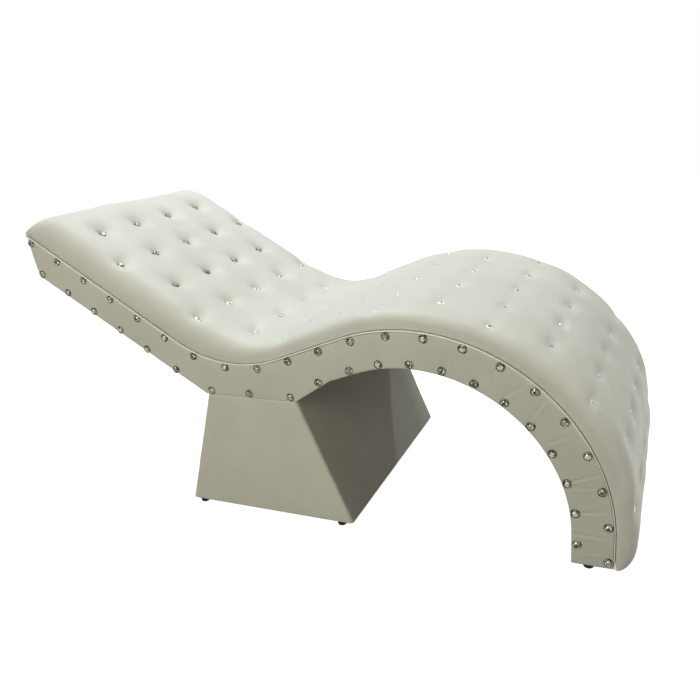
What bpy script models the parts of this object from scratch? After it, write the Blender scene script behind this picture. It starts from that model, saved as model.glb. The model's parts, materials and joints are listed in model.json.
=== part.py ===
"""Upholstered S-shaped treatment bed with a tufted pad, studded sides and a pyramid base.

Metres, +Z up, floor at z = 0. The head lies at -X and the foot at +X. The bed is symmetric
about y = 0: "right" is the -Y side and "left" the +Y side. Every layer of the body follows
one line, the seam where the pad meets the side covers. A depth is measured from the seam
down into the frame, a height from the seam up into the pad.
"""
import bmesh
import bpy
from math import cos, hypot, pi, radians, sin, sqrt
from mathutils import Vector

# Overall sizes
BED_WIDTH = 0.735
SIDE_HEIGHT = 0.1025
FLOOR_CLEARANCE = 0.012
GAP = 0.0003
OVERRUN = 0.004

# Seam line, from the foot end to the head end
FOOT_RISE = 0.085
CREST_RADIUS = 0.5125
RISE_RUN = 0.215
RISE_ANGLE = radians(19.3)
VALLEY_RADIUS = 0.3875
HEAD_RUN = 0.595
HEAD_ANGLE = radians(32.6)
HEAD_CUT_LEAN = radians(6.4)

# Sheet and board thicknesses
COVER_T = 0.003
LINING_T = 0.0015
DECK_T = 0.006
UNDERSIDE_T = 0.003
BOARD_T = 0.018
RIB_T = 0.018
RAIL_T = 0.020
RAIL_HEIGHT = 0.060
RAIL_SEAM_SHARES = (0.12, 0.31, 0.62, 0.86)

# Seat of the base under the valley
SHOULDER_ANGLE = radians(32.0)
SEAT_HEAD_TRIM = 0.013
BASE_SETBACK = 0.002
BASE_TOP_LENGTH = 0.300
BASE_FOOT_LENGTH = 0.560
BASE_PANEL_T = 0.015
CORNER_BLOCK = 0.034

# Pad
HEAD_PAD = 0.097
WAIST_PAD = 0.050
FOOT_PAD = 0.061
FOOT_END_PAD = 0.050
HEAD_PAD_END_SHARE = 0.28
WAIST_PAD_START_SHARE = 0.43
WAIST_PAD_END_SHARE = 0.62
FOOT_PAD_START_SHARE = 0.76
FOOT_END_SHARES = (0.86, 0.94)
PAD_EDGE = 0.055
PAD_BULGE = 0.006
PAD_WALL_SHARE = 0.30
HEAD_ROUND = 0.110
FOOT_ROUND = 0.050
HEAD_LIP_SHARE = 0.14
FOOT_LIP_SHARE = 0.20
HEAD_ROUND_SHARES = (0.0, 0.1, 0.36, 0.68)
FOOT_ROUND_SHARES = (0.70, 0.36, 0.1, 0.0)
CORE_HEIGHT = 0.020
CORE_INSET = 0.045

# Tufts
TUFT_SIDE_MARGIN = 0.0425
TUFT_ROW_PITCH = 0.1492
FIRST_TUFT_ROW = 0.1697
LAST_TUFT_MARGIN = 0.100
TUFTS_IN_EVEN_ROW = 4
TUFTS_IN_ODD_ROW = 5
HEAD_TUFT_DEPTH = 0.024
WAIST_TUFT_DEPTH = 0.006
TUFT_FLOOR = 0.013

# Crystal buttons and studs
BUTTON_HEIGHT = 0.005
STUD_RADIUS = 0.012
STUD_TABLE_RADIUS = 0.006
STUD_RIM = 0.002
STUD_HEIGHT = 0.008
STUD_COUNT_TOP = 22
STUD_COUNT_BOTTOM = 21
STUD_PITCH_DRIFT = 0.00018
TOP_STUD_START = 0.024
TOP_STUD_END = 0.0172
TOP_STUD_DEPTH = 0.0148
BOTTOM_STUD_START = 0.0893
BOTTOM_STUD_MARGIN = 0.014
WELT_RADIUS = 0.0025

# Glides and bolts
GLIDE_RADIUS = 0.0135
GLIDE_TIP_RADIUS = 0.0115
GLIDE_ROUND = 0.0025
GLIDE_END_INSET = 0.036
GLIDE_SIDE_INSET = 0.0135
FOOT_GLIDE_SHARE = 0.60
NAIL_RADIUS = 0.0015
NAIL_LENGTH = 0.014
BOLT_RADIUS = 0.004
BOLT_HEAD_RADIUS = 0.0075
BOLT_HEAD_HEIGHT = 0.0053
BOLT_SPACING_X = 0.170
BOLT_SPACING_Y = 0.460
WASHER_RADIUS = 0.009
WASHER_T = 0.0016
TEE_NUT_RADIUS = 0.011
TEE_NUT_FLANGE_T = 0.0016
TEE_NUT_BARREL_RADIUS = 0.0056
TEE_NUT_BARREL_LENGTH = 0.010

# Mesh fineness
STUD_SIDES = 8
NAIL_SIDES = 8
WELT_SIDES = 6
ROUND_SIDES = 12
WALK_STEP = 0.002
STATION_SPACING = 0.0025
STRAIGHT_TOLERANCE = 1e-4

# Values worked out from the sizes above
HALF_WIDTH = BED_WIDTH / 2
INNER_HALF = HALF_WIDTH - COVER_T - GAP
# Runs of the seam from the foot: length and radius, zero radius for a straight run
CREST_LENGTH = CREST_RADIUS * (pi / 2 + RISE_ANGLE)
VALLEY_LENGTH = VALLEY_RADIUS * (RISE_ANGLE + HEAD_ANGLE)
SEAM_RUNS = (
    (FOOT_RISE, 0),
    (CREST_LENGTH, CREST_RADIUS),
    (RISE_RUN, 0),
    (VALLEY_LENGTH, -VALLEY_RADIUS),
    (HEAD_RUN, 0),
)
SEAM_LENGTH = sum(length for length, _ in SEAM_RUNS)
STUD_PITCH = (SEAM_LENGTH - TOP_STUD_START - TOP_STUD_END) / (STUD_COUNT_TOP - 1)
TUFT_PITCH = (BED_WIDTH - 2 * TUFT_SIDE_MARGIN) / (TUFTS_IN_ODD_ROW - 1)
RIM_HEIGHT = WELT_RADIUS + 2 * GAP
# Distances of layer faces above the lower outline
LINING_TOP = LINING_T
PANEL_LOW = LINING_TOP + GAP
PANEL_TOP = PANEL_LOW + UNDERSIDE_T
RIB_LOW = PANEL_TOP + GAP
BOARD_INSET = COVER_T + GAP
RIB_INSET = BOARD_INSET + BOARD_T + GAP


def clear_scene():
    for old in list(bpy.data.objects):
        bpy.data.objects.remove(old, do_unlink=True)


def material(name, colour, roughness, metallic=0.0):
    mat = bpy.data.materials.new(name)
    mat.use_nodes = True
    shader = mat.node_tree.nodes["Principled BSDF"]
    shader.inputs["Base Color"].default_value = (*colour, 1.0)
    shader.inputs["Roughness"].default_value = roughness
    shader.inputs["Metallic"].default_value = metallic
    return mat


def add_object(name, bm, mat):
    """Turn a bmesh into a named object with its faces pointing out."""
    bmesh.ops.recalc_face_normals(bm, faces=bm.faces)
    mesh = bpy.data.meshes.new(name)
    bm.to_mesh(mesh)
    bm.free()
    mesh.materials.append(mat)
    piece = bpy.data.objects.new(name, mesh)
    bpy.context.collection.objects.link(piece)
    return piece


def add_prism(bm, outline, y_low, y_high):
    """Extrude an outline in the XZ plane along Y."""
    low = [bm.verts.new((x, y_low, z)) for x, z in outline]
    high = [bm.verts.new((x, y_high, z)) for x, z in outline]
    bm.faces.new(low)
    bm.faces.new(high)
    count = len(outline)
    for i in range(count):
        j = (i + 1) % count
        bm.faces.new((low[i], low[j], high[j], high[i]))


def prism(name, outline, y_low, y_high, mat):
    bm = bmesh.new()
    add_prism(bm, outline, y_low, y_high)
    return add_object(name, bm, mat)


def add_sweep(bm, rings):
    """Join rings of equal length into one closed body with flat ends."""
    rows = [[bm.verts.new(point) for point in ring] for ring in rings]
    bm.faces.new(rows[0])
    bm.faces.new(rows[-1])
    count = len(rings[0])
    for row, nxt in zip(rows, rows[1:]):
        for i in range(count):
            j = (i + 1) % count
            bm.faces.new((row[i], row[j], nxt[j], nxt[i]))
    return rows


def sweep(name, rings, mat):
    bm = bmesh.new()
    add_sweep(bm, rings)
    return add_object(name, bm, mat)


def band(name, upper, lower, half_width, mat):
    """A sheet between two lines of equal length in the XZ plane, from side to side."""
    rings = []
    for (xu, zu), (xl, zl) in zip(upper, lower):
        rings.append([(xu, -half_width, zu), (xu, half_width, zu),
                      (xl, half_width, zl), (xl, -half_width, zl)])
    return sweep(name, rings, mat)


def add_turned(bm, base, axis, across, profile, sides):
    """A solid of revolution: profile points are (radius, distance along the axis)."""
    beside = axis.cross(across)
    rings = []
    for radius, along in profile:
        ring = []
        for i in range(sides):
            turn = 2 * pi * i / sides
            ring.append(base + axis * along + across * radius * cos(turn)
                        + beside * radius * sin(turn))
        rings.append(ring)
    add_sweep(bm, rings)


def add_tube(bm, base, axis, across, profile, sides):
    """A solid of revolution with a bore: the profile is a closed line of points."""
    beside = axis.cross(across)
    rings = []
    for i in range(sides):
        turn = 2 * pi * i / sides
        out = across * cos(turn) + beside * sin(turn)
        rings.append([bm.verts.new(base + axis * along + out * radius)
                      for radius, along in profile])
    count = len(profile)
    for i in range(sides):
        ring, nxt = rings[i], rings[(i + 1) % sides]
        for j in range(count):
            k = (j + 1) % count
            bm.faces.new((ring[j], ring[k], nxt[k], nxt[j]))


def combine(piece, name, bm, mat, operation):
    """Cut the bmesh's bodies out of a piece, or join them to it, with a Boolean."""
    helper = add_object(name, bm, mat)
    helper.hide_render = True
    helper.display_type = "WIRE"
    mod = piece.modifiers.new(name, "BOOLEAN")
    mod.operation = operation
    mod.solver = "EXACT"
    mod.material_mode = "TRANSFER"
    mod.object = helper


def cut(piece, name, bm):
    combine(piece, name, bm, piece.data.materials[0], "DIFFERENCE")


def seam_at(distance):
    """Point and outward normal (x, z, nx, nz) of the seam, from its head end."""
    left = SEAM_LENGTH - distance
    x, z, heading = 0.0, FLOOR_CLEARANCE, pi / 2
    for length, radius in SEAM_RUNS:
        step = min(left, length)
        if radius:
            turned = heading + step / radius
            x += radius * (sin(turned) - sin(heading))
            z -= radius * (cos(turned) - cos(heading))
            heading = turned
        else:
            x += step * cos(heading)
            z += step * sin(heading)
        left -= step
        if left <= 0:
            break
    return x, z, sin(heading), -cos(heading)


def bend_at(distance):
    """Curvature of the seam: positive over the crest, negative in the valley."""
    left = SEAM_LENGTH - distance
    for length, radius in SEAM_RUNS:
        if left <= length:
            return 1 / radius if radius else 0.0
        left -= length
    return 0.0


def off_seam(distance, height):
    x, z, nx, nz = seam_at(distance)
    return x + nx * height, z + nz * height


def ease(value, start, end):
    share = min(max((value - start) / (end - start), 0.0), 1.0)
    return share * share * (3 - 2 * share)


def along_pad(distance, head, waist, foot):
    """A size that changes from head to waist to foot, as the pad's thickness does."""
    share = distance / SEAM_LENGTH
    to_waist = ease(share, HEAD_PAD_END_SHARE, WAIST_PAD_START_SHARE)
    to_foot = ease(share, WAIST_PAD_END_SHARE, FOOT_PAD_START_SHARE)
    return head + (waist - head) * to_waist + (foot - waist) * to_foot


def pad_height(distance):
    thinned = (FOOT_PAD - FOOT_END_PAD) * ease(distance / SEAM_LENGTH, *FOOT_END_SHARES)
    return along_pad(distance, HEAD_PAD, WAIST_PAD, FOOT_PAD) - thinned


def seat_height(distance):
    """Height of a tuft's floor above the seam."""
    return pad_height(distance) - along_pad(distance, HEAD_TUFT_DEPTH, WAIST_TUFT_DEPTH,
                                            WAIST_TUFT_DEPTH)


def seam_distances(surface_distances):
    """Seam distances of points given by their distance along the tufted surface."""
    found = []
    seam, surface = 0.0, 0.0
    for wanted in surface_distances:
        while surface < wanted and seam < SEAM_LENGTH:
            stretch = 1 + seat_height(seam) * bend_at(seam)
            surface += WALK_STEP * stretch
            seam += WALK_STEP
        found.append(seam - (surface - wanted) / (1 + seat_height(seam) * bend_at(seam)))
    return found


def tuft_row_distances():
    """Seam distance of each tuft row, and of the places half a pitch before and after."""
    half = TUFT_ROW_PITCH / 2
    wanted = [FIRST_TUFT_ROW + (i - 1) * half for i in range(int(SEAM_LENGTH * 2 / half))]
    marks = [mark for mark in seam_distances(wanted) if mark < SEAM_LENGTH - GAP]
    rows = [mark for mark in marks[1::2] if mark < SEAM_LENGTH - LAST_TUFT_MARGIN]
    return rows, marks[:2 * len(rows) + 1]


TUFT_ROWS, TUFT_MARKS = tuft_row_distances()
PAD_STATIONS = (
    [HEAD_ROUND * share for share in HEAD_ROUND_SHARES]
    + TUFT_MARKS
    + [SEAM_LENGTH - FOOT_ROUND * share for share in FOOT_ROUND_SHARES
       if SEAM_LENGTH - FOOT_ROUND * share > TUFT_MARKS[-1] + STATION_SPACING]
)


def turning_stations():
    """The pad's stations where the seam's line turns, leaving out those on straight runs."""
    kept = []
    for before, here, after in zip(PAD_STATIONS, PAD_STATIONS[1:], PAD_STATIONS[2:]):
        x0, z0, _, _ = seam_at(before)
        x1, z1, _, _ = seam_at(here)
        x2, z2, _, _ = seam_at(after)
        turn = (x1 - x0) * (z2 - z1) - (z1 - z0) * (x2 - x1)
        size = hypot(x1 - x0, z1 - z0) * hypot(x2 - x1, z2 - z1)
        if abs(turn) > STRAIGHT_TOLERANCE * size:
            kept.append(here)
    return kept


FRAME_STATIONS = turning_stations()
HEAD_START = seam_at(0.0)
# Unit vectors: down the head slope, and down the cut of the head end
SLOPE = (cos(HEAD_ANGLE), -sin(HEAD_ANGLE))
CUT = (sin(HEAD_CUT_LEAN), -cos(HEAD_CUT_LEAN))
CUT_SINE = abs(SLOPE[0] * CUT[1] - SLOPE[1] * CUT[0])


def head_point(depth, inset):
    """Point on a layer at a depth, and at an inset from the cut of the head end."""
    down, along = depth / CUT_SINE, inset / CUT_SINE
    return (HEAD_START[0] + CUT[0] * down + SLOPE[0] * along,
            HEAD_START[1] + CUT[1] * down + SLOPE[1] * along)


def foot_point(depth, inset):
    return -depth, FLOOR_CLEARANCE + inset


def layer(depth, head_inset, foot_inset):
    """Line of a layer parallel to the seam, from head to foot."""
    middle = [off_seam(station, -depth) for station in FRAME_STATIONS]
    return [head_point(depth, head_inset)] + middle + [foot_point(depth, foot_inset)]


def meet(point, direction, other, other_direction):
    """Crossing of two lines in the XZ plane."""
    det = direction[0] * other_direction[1] - direction[1] * other_direction[0]
    dx, dz = other[0] - point[0], other[1] - point[1]
    along = (dx * other_direction[1] - dz * other_direction[0]) / det
    return point[0] + direction[0] * along, point[1] + direction[1] * along


# The level seat under the valley's lowest point, and its head and foot corners
VALLEY_LOW = SEAM_LENGTH - FOOT_RISE - CREST_LENGTH - RISE_RUN - VALLEY_RADIUS * RISE_ANGLE
SEAT_LEVEL = seam_at(VALLEY_LOW)[1] - SIDE_HEIGHT
SEAT_HEAD_X = (meet(head_point(SIDE_HEIGHT, 0), SLOPE, (0, SEAT_LEVEL), (1, 0))[0]
               + SEAT_HEAD_TRIM)
BASE_MIDDLE_X = SEAT_HEAD_X + BASE_SETBACK + BASE_TOP_LENGTH / 2
SEAT_FOOT_X = BASE_MIDDLE_X + BASE_TOP_LENGTH / 2
RISE_START = SEAM_LENGTH - FOOT_RISE - CREST_LENGTH - RISE_RUN
SHOULDER = (cos(SHOULDER_ANGLE), sin(SHOULDER_ANGLE))
RISE = (cos(RISE_ANGLE), sin(RISE_ANGLE))
# The base between the floor and the seat
BASE_TOP = SEAT_LEVEL - GAP
BASE_HEIGHT = BASE_TOP - FLOOR_CLEARANCE
BASE_LEAN = (BASE_FOOT_LENGTH - BASE_TOP_LENGTH) / 2 / BASE_HEIGHT
BASE_INSET_STRETCH = sqrt(1 + BASE_LEAN ** 2)
BASE_INNER_INSET = COVER_T + BASE_PANEL_T + 2 * GAP
BASE_INNER_HALF = INNER_HALF - BASE_PANEL_T - GAP


def head_corner(rise):
    """Point above the seat's head corner, at a distance inside the lower outline."""
    return SEAT_HEAD_X, SEAT_LEVEL + rise / cos(HEAD_ANGLE)


def shoulder_corner(rise):
    return SEAT_FOOT_X, SEAT_LEVEL + rise / cos(SHOULDER_ANGLE)


def arch_line(rise, foot_inset):
    """Lower line of the arch from the seat's foot corner to the foot."""
    start = shoulder_corner(rise)
    depth = SIDE_HEIGHT - rise
    rise_line = off_seam(RISE_START, -depth)
    top = meet(start, SHOULDER, rise_line, RISE)
    top_distance = RISE_START + hypot(top[0] - rise_line[0], top[1] - rise_line[1])
    later = [off_seam(station, -depth) for station in FRAME_STATIONS
             if station > top_distance + RAIL_T / 2]
    return [start, top] + later + [foot_point(depth, foot_inset)]


def side_outline():
    """Outline of the upholstered side, below the welt."""
    top = layer(WELT_RADIUS + GAP, 0, 0)
    bottom = [head_point(SIDE_HEIGHT, 0), (SEAT_HEAD_X, SEAT_LEVEL)] + arch_line(0, 0)
    return top + bottom[::-1]


def rib_outline():
    """Outline of a rib, notched over the mounting board."""
    notch = SEAT_LEVEL + BOARD_T + GAP
    top = layer(DECK_T + GAP, RIB_INSET, BOARD_T + GAP)
    bottom = [head_point(SIDE_HEIGHT - RIB_LOW, RIB_INSET), head_corner(RIB_LOW),
              (SEAT_HEAD_X, notch), (SEAT_FOOT_X, notch)]
    return top + (bottom + arch_line(RIB_LOW, BOARD_T + GAP))[::-1]


def frame_pieces(wood, ply):
    outline = rib_outline()
    inner = INNER_HALF - RIB_T
    prism("right_side_rib", outline, -INNER_HALF, -inner, wood)
    prism("left_side_rib", outline, inner, INNER_HALF, wood)
    prism("centre_rib", outline, -RIB_T / 2, RIB_T / 2, wood)
    top, bottom = DECK_T + GAP, SIDE_HEIGHT - RIB_LOW
    end = BOARD_INSET + BOARD_T
    head_board = [head_point(top, BOARD_INSET), head_point(top, end),
                  head_point(bottom, end), head_point(bottom, BOARD_INSET)]
    prism("head_end_board", head_board, -INNER_HALF, INNER_HALF, wood)
    foot_board = [foot_point(top, 0), foot_point(top, BOARD_T),
                  foot_point(bottom, BOARD_T), foot_point(bottom, 0)]
    board = prism("foot_end_board", foot_board, -INNER_HALF, INNER_HALF, wood)
    drill_nails(board, "foot_nail_holes", foot_glide_places())
    band("deck", layer(0, BOARD_INSET, 0), layer(DECK_T, BOARD_INSET, 0), INNER_HALF, ply)
    seat = [(SEAT_HEAD_X + GAP, SEAT_LEVEL), (SEAT_FOOT_X - GAP, SEAT_LEVEL),
            (SEAT_FOOT_X - GAP, SEAT_LEVEL + BOARD_T), (SEAT_HEAD_X + GAP, SEAT_LEVEL + BOARD_T)]
    mounting = prism("mounting_board", seat, -INNER_HALF, INNER_HALF, wood)
    drill_bolts(mounting, "mounting_holes", SEAT_LEVEL, TEE_NUT_BARREL_RADIUS + GAP)


def cross_rails(wood):
    """Short rails between the ribs, square to the deck's underside."""
    line = layer(DECK_T + GAP, RIB_INSET, BOARD_T + GAP)
    lengths = [0.0]
    for (x0, z0), (x1, z1) in zip(line, line[1:]):
        lengths.append(lengths[-1] + hypot(x1 - x0, z1 - z0))
    low, high = RIB_T / 2 + GAP, INNER_HALF - RIB_T - GAP
    for number, share in enumerate(RAIL_SEAM_SHARES, start=1):
        place = lengths[-1] * share
        i = max(k for k in range(len(line) - 1) if lengths[k] <= place)
        (x0, z0), (x1, z1) = line[i], line[i + 1]
        length = lengths[i + 1] - lengths[i]
        ux, uz = (x1 - x0) / length, (z1 - z0) / length
        along = place - lengths[i] if length > 4 * RAIL_T else length / 2
        along = min(max(along, RAIL_T), length - RAIL_T)
        outline = []
        for side, depth in ((-1, 0), (1, 0), (1, RAIL_HEIGHT), (-1, RAIL_HEIGHT)):
            step = along + side * RAIL_T / 2
            outline.append((x0 + ux * step + uz * depth, z0 + uz * step - ux * depth))
        prism(f"right_cross_rail_{number}", outline, -high, -low, wood)
        prism(f"left_cross_rail_{number}", outline, low, high, wood)


def underside_pieces(board, cloth):
    """Thin board and leatherette on the underside of the head slope and of the arch."""
    def head_strip(low, high):
        return [head_point(SIDE_HEIGHT - low, BOARD_INSET), head_corner(low),
                head_corner(high), head_point(SIDE_HEIGHT - high, BOARD_INSET)]

    prism("head_lining", head_strip(0, LINING_TOP), -INNER_HALF, INNER_HALF, cloth)
    prism("head_underside_panel", head_strip(PANEL_LOW, PANEL_TOP), -INNER_HALF, INNER_HALF,
          board)
    band("arch_lining", arch_line(LINING_TOP, 0), arch_line(0, 0), INNER_HALF, cloth)
    band("arch_underside_panel", arch_line(PANEL_TOP, 0), arch_line(PANEL_LOW, 0), INNER_HALF,
         board)


def side_covers(cloth, crystal):
    """The leatherette of each side with its two rows of crystal studs, and the head end's."""
    outline = side_outline()
    for name, side in (("right", -1), ("left", 1)):
        faces = sorted((side * HALF_WIDTH, side * (HALF_WIDTH - COVER_T)))
        cover = prism(f"{name}_side_cover", outline, faces[0], faces[1], cloth)
        combine(cover, f"{name}_studs", stud_bodies(side), crystal, "UNION")
    top = WELT_RADIUS + GAP
    end = [head_point(top, 0), head_point(top, COVER_T),
           head_point(SIDE_HEIGHT, COVER_T), head_point(SIDE_HEIGHT, 0)]
    prism("head_end_cover", end, -INNER_HALF, INNER_HALF, cloth)


def welts(cloth):
    """Piping on the seam: one run on each side and one across the head end."""
    offset = HALF_WIDTH - COVER_T + WELT_RADIUS
    stations = [0.0] + FRAME_STATIONS + [SEAM_LENGTH]
    for name, side in (("right_welt", -1), ("left_welt", 1)):
        rings = []
        for station in stations:
            x, z, nx, nz = seam_at(station)
            ring = []
            for i in range(WELT_SIDES):
                turn = 2 * pi * i / WELT_SIDES
                up, out = WELT_RADIUS * sin(turn), WELT_RADIUS * cos(turn)
                ring.append((x + nx * up, side * offset + out, z + nz * up))
            rings.append(ring)
        sweep(name, rings, cloth)
    x, z = head_point(0, COVER_T - WELT_RADIUS)
    bm = bmesh.new()
    add_turned(bm, Vector((x, -INNER_HALF, z)), Vector((0, 1, 0)), Vector((SLOPE[0], 0, SLOPE[1])),
               [(WELT_RADIUS, 0), (WELT_RADIUS, 2 * INNER_HALF)], WELT_SIDES)
    add_object("head_welt", bm, cloth)


def end_share(distance):
    """How much of its full height the pad has near its two ends."""
    def rounded(gone, reach, lip):
        share = min(gone / reach, 1.0)
        return lip + (1 - lip) * sqrt(1 - (1 - share) ** 2)

    return min(rounded(distance, HEAD_ROUND, HEAD_LIP_SHARE),
               rounded(SEAM_LENGTH - distance, FOOT_ROUND, FOOT_LIP_SHARE))


def pad_section(distance):
    """The pad's cross-section: (y, height) from the right rim over the top to the left rim."""
    full = pad_height(distance)
    wall = RIM_HEIGHT + (full - RIM_HEIGHT) * PAD_WALL_SHARE
    flat = HALF_WIDTH - PAD_EDGE
    half = []
    columns = 2 * TUFTS_IN_ODD_ROW - 1
    for i in range(columns):
        y = i * TUFT_PITCH / 4
        past = max(y - flat, 0.0) / PAD_EDGE
        half.append((y, wall + (full - wall) * sqrt(1 - min(past, 1.0) ** 2)))
    corner = PAD_EDGE * sin(pi / 4)
    half.append((flat + corner + PAD_BULGE / 2, wall + (full - wall) * cos(pi / 4)))
    half.append((HALF_WIDTH + PAD_BULGE, wall))
    half.append((HALF_WIDTH - COVER_T + WELT_RADIUS, RIM_HEIGHT))
    share = end_share(distance)
    half = [(y, RIM_HEIGHT + (height - RIM_HEIGHT) * share) for y, height in half]
    return [(-y, height) for y, height in half[:0:-1]] + half


def tufts():
    """Every tuft's seam distance and side place."""
    places = []
    for number, station in enumerate(TUFT_ROWS):
        count = TUFTS_IN_ODD_ROW if number % 2 else TUFTS_IN_EVEN_ROW
        for i in range(count):
            places.append((station, (i - (count - 1) / 2) * TUFT_PITCH))
    return places


def tuft_frame(station, y):
    """Floor point, outward normal and slope direction of a tuft."""
    x, z, nx, nz = seam_at(station)
    height = seat_height(station)
    floor = Vector((x + nx * height, y, z + nz * height))
    return floor, Vector((nx, 0, nz)), Vector((nz, 0, -nx))


def pad(leather, crystal):
    """The crowned pad with its sewn buttons as one closed body, pocketed for the foam core."""
    bm = bmesh.new()
    rings = []
    under = HALF_WIDTH - PAD_EDGE / 2
    for number, station in enumerate(PAD_STATIONS):
        x, z, nx, nz = seam_at(station)
        low = RIM_HEIGHT if number < 2 else GAP
        section = pad_section(station) + [(under, low), (-under, low)]
        rings.append([(x + nx * height, y, z + nz * height) for y, height in section])
    rows = add_sweep(bm, rings)
    middle = (len(rings[0]) - 3) // 2
    centres = []
    for station, y in tufts():
        row = rows[PAD_STATIONS.index(station)]
        centres.append(row[middle + round(y / (TUFT_PITCH / 4))])
    bmesh.ops.bevel(bm, geom=centres, offset=TUFT_FLOOR, offset_type="OFFSET", segments=1,
                    profile=0.5, affect="VERTICES")
    for station, y in tufts():
        sink_tuft(bm, station, y)
    piece = add_object("tufted_pad", bm, leather)
    piece.data.materials.append(crystal)
    pocket = bmesh.new()
    add_sweep(pocket, core_rings(GAP, -OVERRUN))
    cut(piece, "core_pocket", pocket)


def sink_tuft(bm, station, y):
    """Lower the small floor of one tuft onto its seat, square it and raise its button."""
    floor, normal, slope = tuft_frame(station, y)
    x, z, _, _ = seam_at(station)
    above = Vector((x, y, z)) + normal * pad_height(station)
    corners = [vert for vert in bm.verts if (vert.co - above).length < TUFT_FLOOR * sqrt(2)]
    for vert in corners:
        away = vert.co - above
        out = slope * away.dot(slope) + Vector((0, away.y, 0))
        vert.co = floor + out.normalized() * TUFT_FLOOR
    face = min(corners[0].link_faces, key=lambda near: (near.calc_center_median() - floor).length)
    button = bmesh.ops.poke(bm, faces=[face])
    for vert in button["verts"]:
        vert.co = floor + normal * BUTTON_HEIGHT
    for face in button["faces"]:
        face.material_index = 1


def core_rings(margin, low):
    """Rings of the foam core's outline, grown by a margin and reaching down to a height."""
    last = PAD_STATIONS.index(TUFT_MARKS[-1])
    first = PAD_STATIONS.index(TUFT_MARKS[0])
    half = HALF_WIDTH - CORE_INSET + margin
    rings = []
    for number in range(first, last + 1):
        x, z, nx, nz = seam_at(PAD_STATIONS[number])
        shift = margin * ((number == last) - (number == first))
        x, z = x + nz * shift, z - nx * shift
        rings.append([(x + nx * height, y, z + nz * height) for y, height in
                      ((-half, low), (half, low), (half, CORE_HEIGHT + margin),
                       (-half, CORE_HEIGHT + margin))])
    return rings


def on_layer(distance, depth):
    """Point on a layer's straight pieces between the frame's stations."""
    marks = [0.0] + FRAME_STATIONS + [SEAM_LENGTH]
    i = max(k for k in range(len(marks) - 1) if marks[k] <= distance)
    share = (distance - marks[i]) / (marks[i + 1] - marks[i])
    x0, z0 = off_seam(marks[i], -depth)
    x1, z1 = off_seam(marks[i + 1], -depth)
    return x0 + (x1 - x0) * share, z0 + (z1 - z0) * share


def stud_distances(start, count):
    """Seam distances of a row of studs, whose spacing tightens towards the foot."""
    return [start + i * STUD_PITCH + i * (count - 1 - i) * STUD_PITCH_DRIFT
            for i in range(count)]


def line_depth(distance, point, direction):
    """Depth at which the square to the seam at a distance meets a line."""
    x, z, nx, nz = seam_at(distance)
    met = meet((x, z), (-nx, -nz), point, direction)
    return (x - met[0]) * nx + (z - met[1]) * nz


def bottom_stud_place(distance):
    """Point the margin inside the lower outline: of the slope, the seat, the shoulder or the arch."""
    depth = SIDE_HEIGHT - BOTTOM_STUD_MARGIN
    if not HEAD_RUN < distance < RISE_START + RISE_RUN:
        return on_layer(distance, depth)
    seat = line_depth(distance, (0, SEAT_LEVEL + BOTTOM_STUD_MARGIN), (1, 0))
    if distance < VALLEY_LOW:
        beside = line_depth(distance, head_corner(BOTTOM_STUD_MARGIN), SLOPE)
    else:
        beside = line_depth(distance, shoulder_corner(BOTTOM_STUD_MARGIN), SHOULDER)
    return off_seam(distance, -max(depth, min(seat, beside)))


def stud_places():
    """Points (x, z) of the studs on one side, the top row and then the bottom row."""
    top = [on_layer(distance, TOP_STUD_DEPTH)
           for distance in stud_distances(TOP_STUD_START, STUD_COUNT_TOP)]
    return top + [bottom_stud_place(distance)
                  for distance in stud_distances(BOTTOM_STUD_START, STUD_COUNT_BOTTOM)]


def stud_bodies(side):
    """The crystal studs of one side, each sunk halfway through the cover."""
    bm = bmesh.new()
    out, across = Vector((0, side, 0)), Vector((1, 0, 0))
    sunk = COVER_T / 2
    for x, z in stud_places():
        root = Vector((x, side * (HALF_WIDTH - sunk), z))
        add_turned(bm, root, out, across,
                   [(STUD_RADIUS, 0), (STUD_RADIUS, sunk + STUD_RIM),
                    (STUD_TABLE_RADIUS, sunk + STUD_HEIGHT)], STUD_SIDES)
    return bm


def base_edge(side, inset, z):
    """Point on the base's slanted end at a height, inset square to the slant."""
    half = BASE_FOOT_LENGTH / 2 - BASE_LEAN * (z - FLOOR_CLEARANCE)
    return BASE_MIDDLE_X + side * (half - inset * BASE_INSET_STRETCH), z


def base_slab(inset, z_low, z_high):
    """Outline across the base between two heights."""
    return [base_edge(-1, inset, z_low), base_edge(1, inset, z_low),
            base_edge(1, inset, z_high), base_edge(-1, inset, z_high)]


def base_strip(side, outer, inner, z_low, z_high):
    """Outline of a sheet along one slanted end."""
    return [base_edge(side, outer, z_low), base_edge(side, inner, z_low),
            base_edge(side, inner, z_high), base_edge(side, outer, z_high)]


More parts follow.
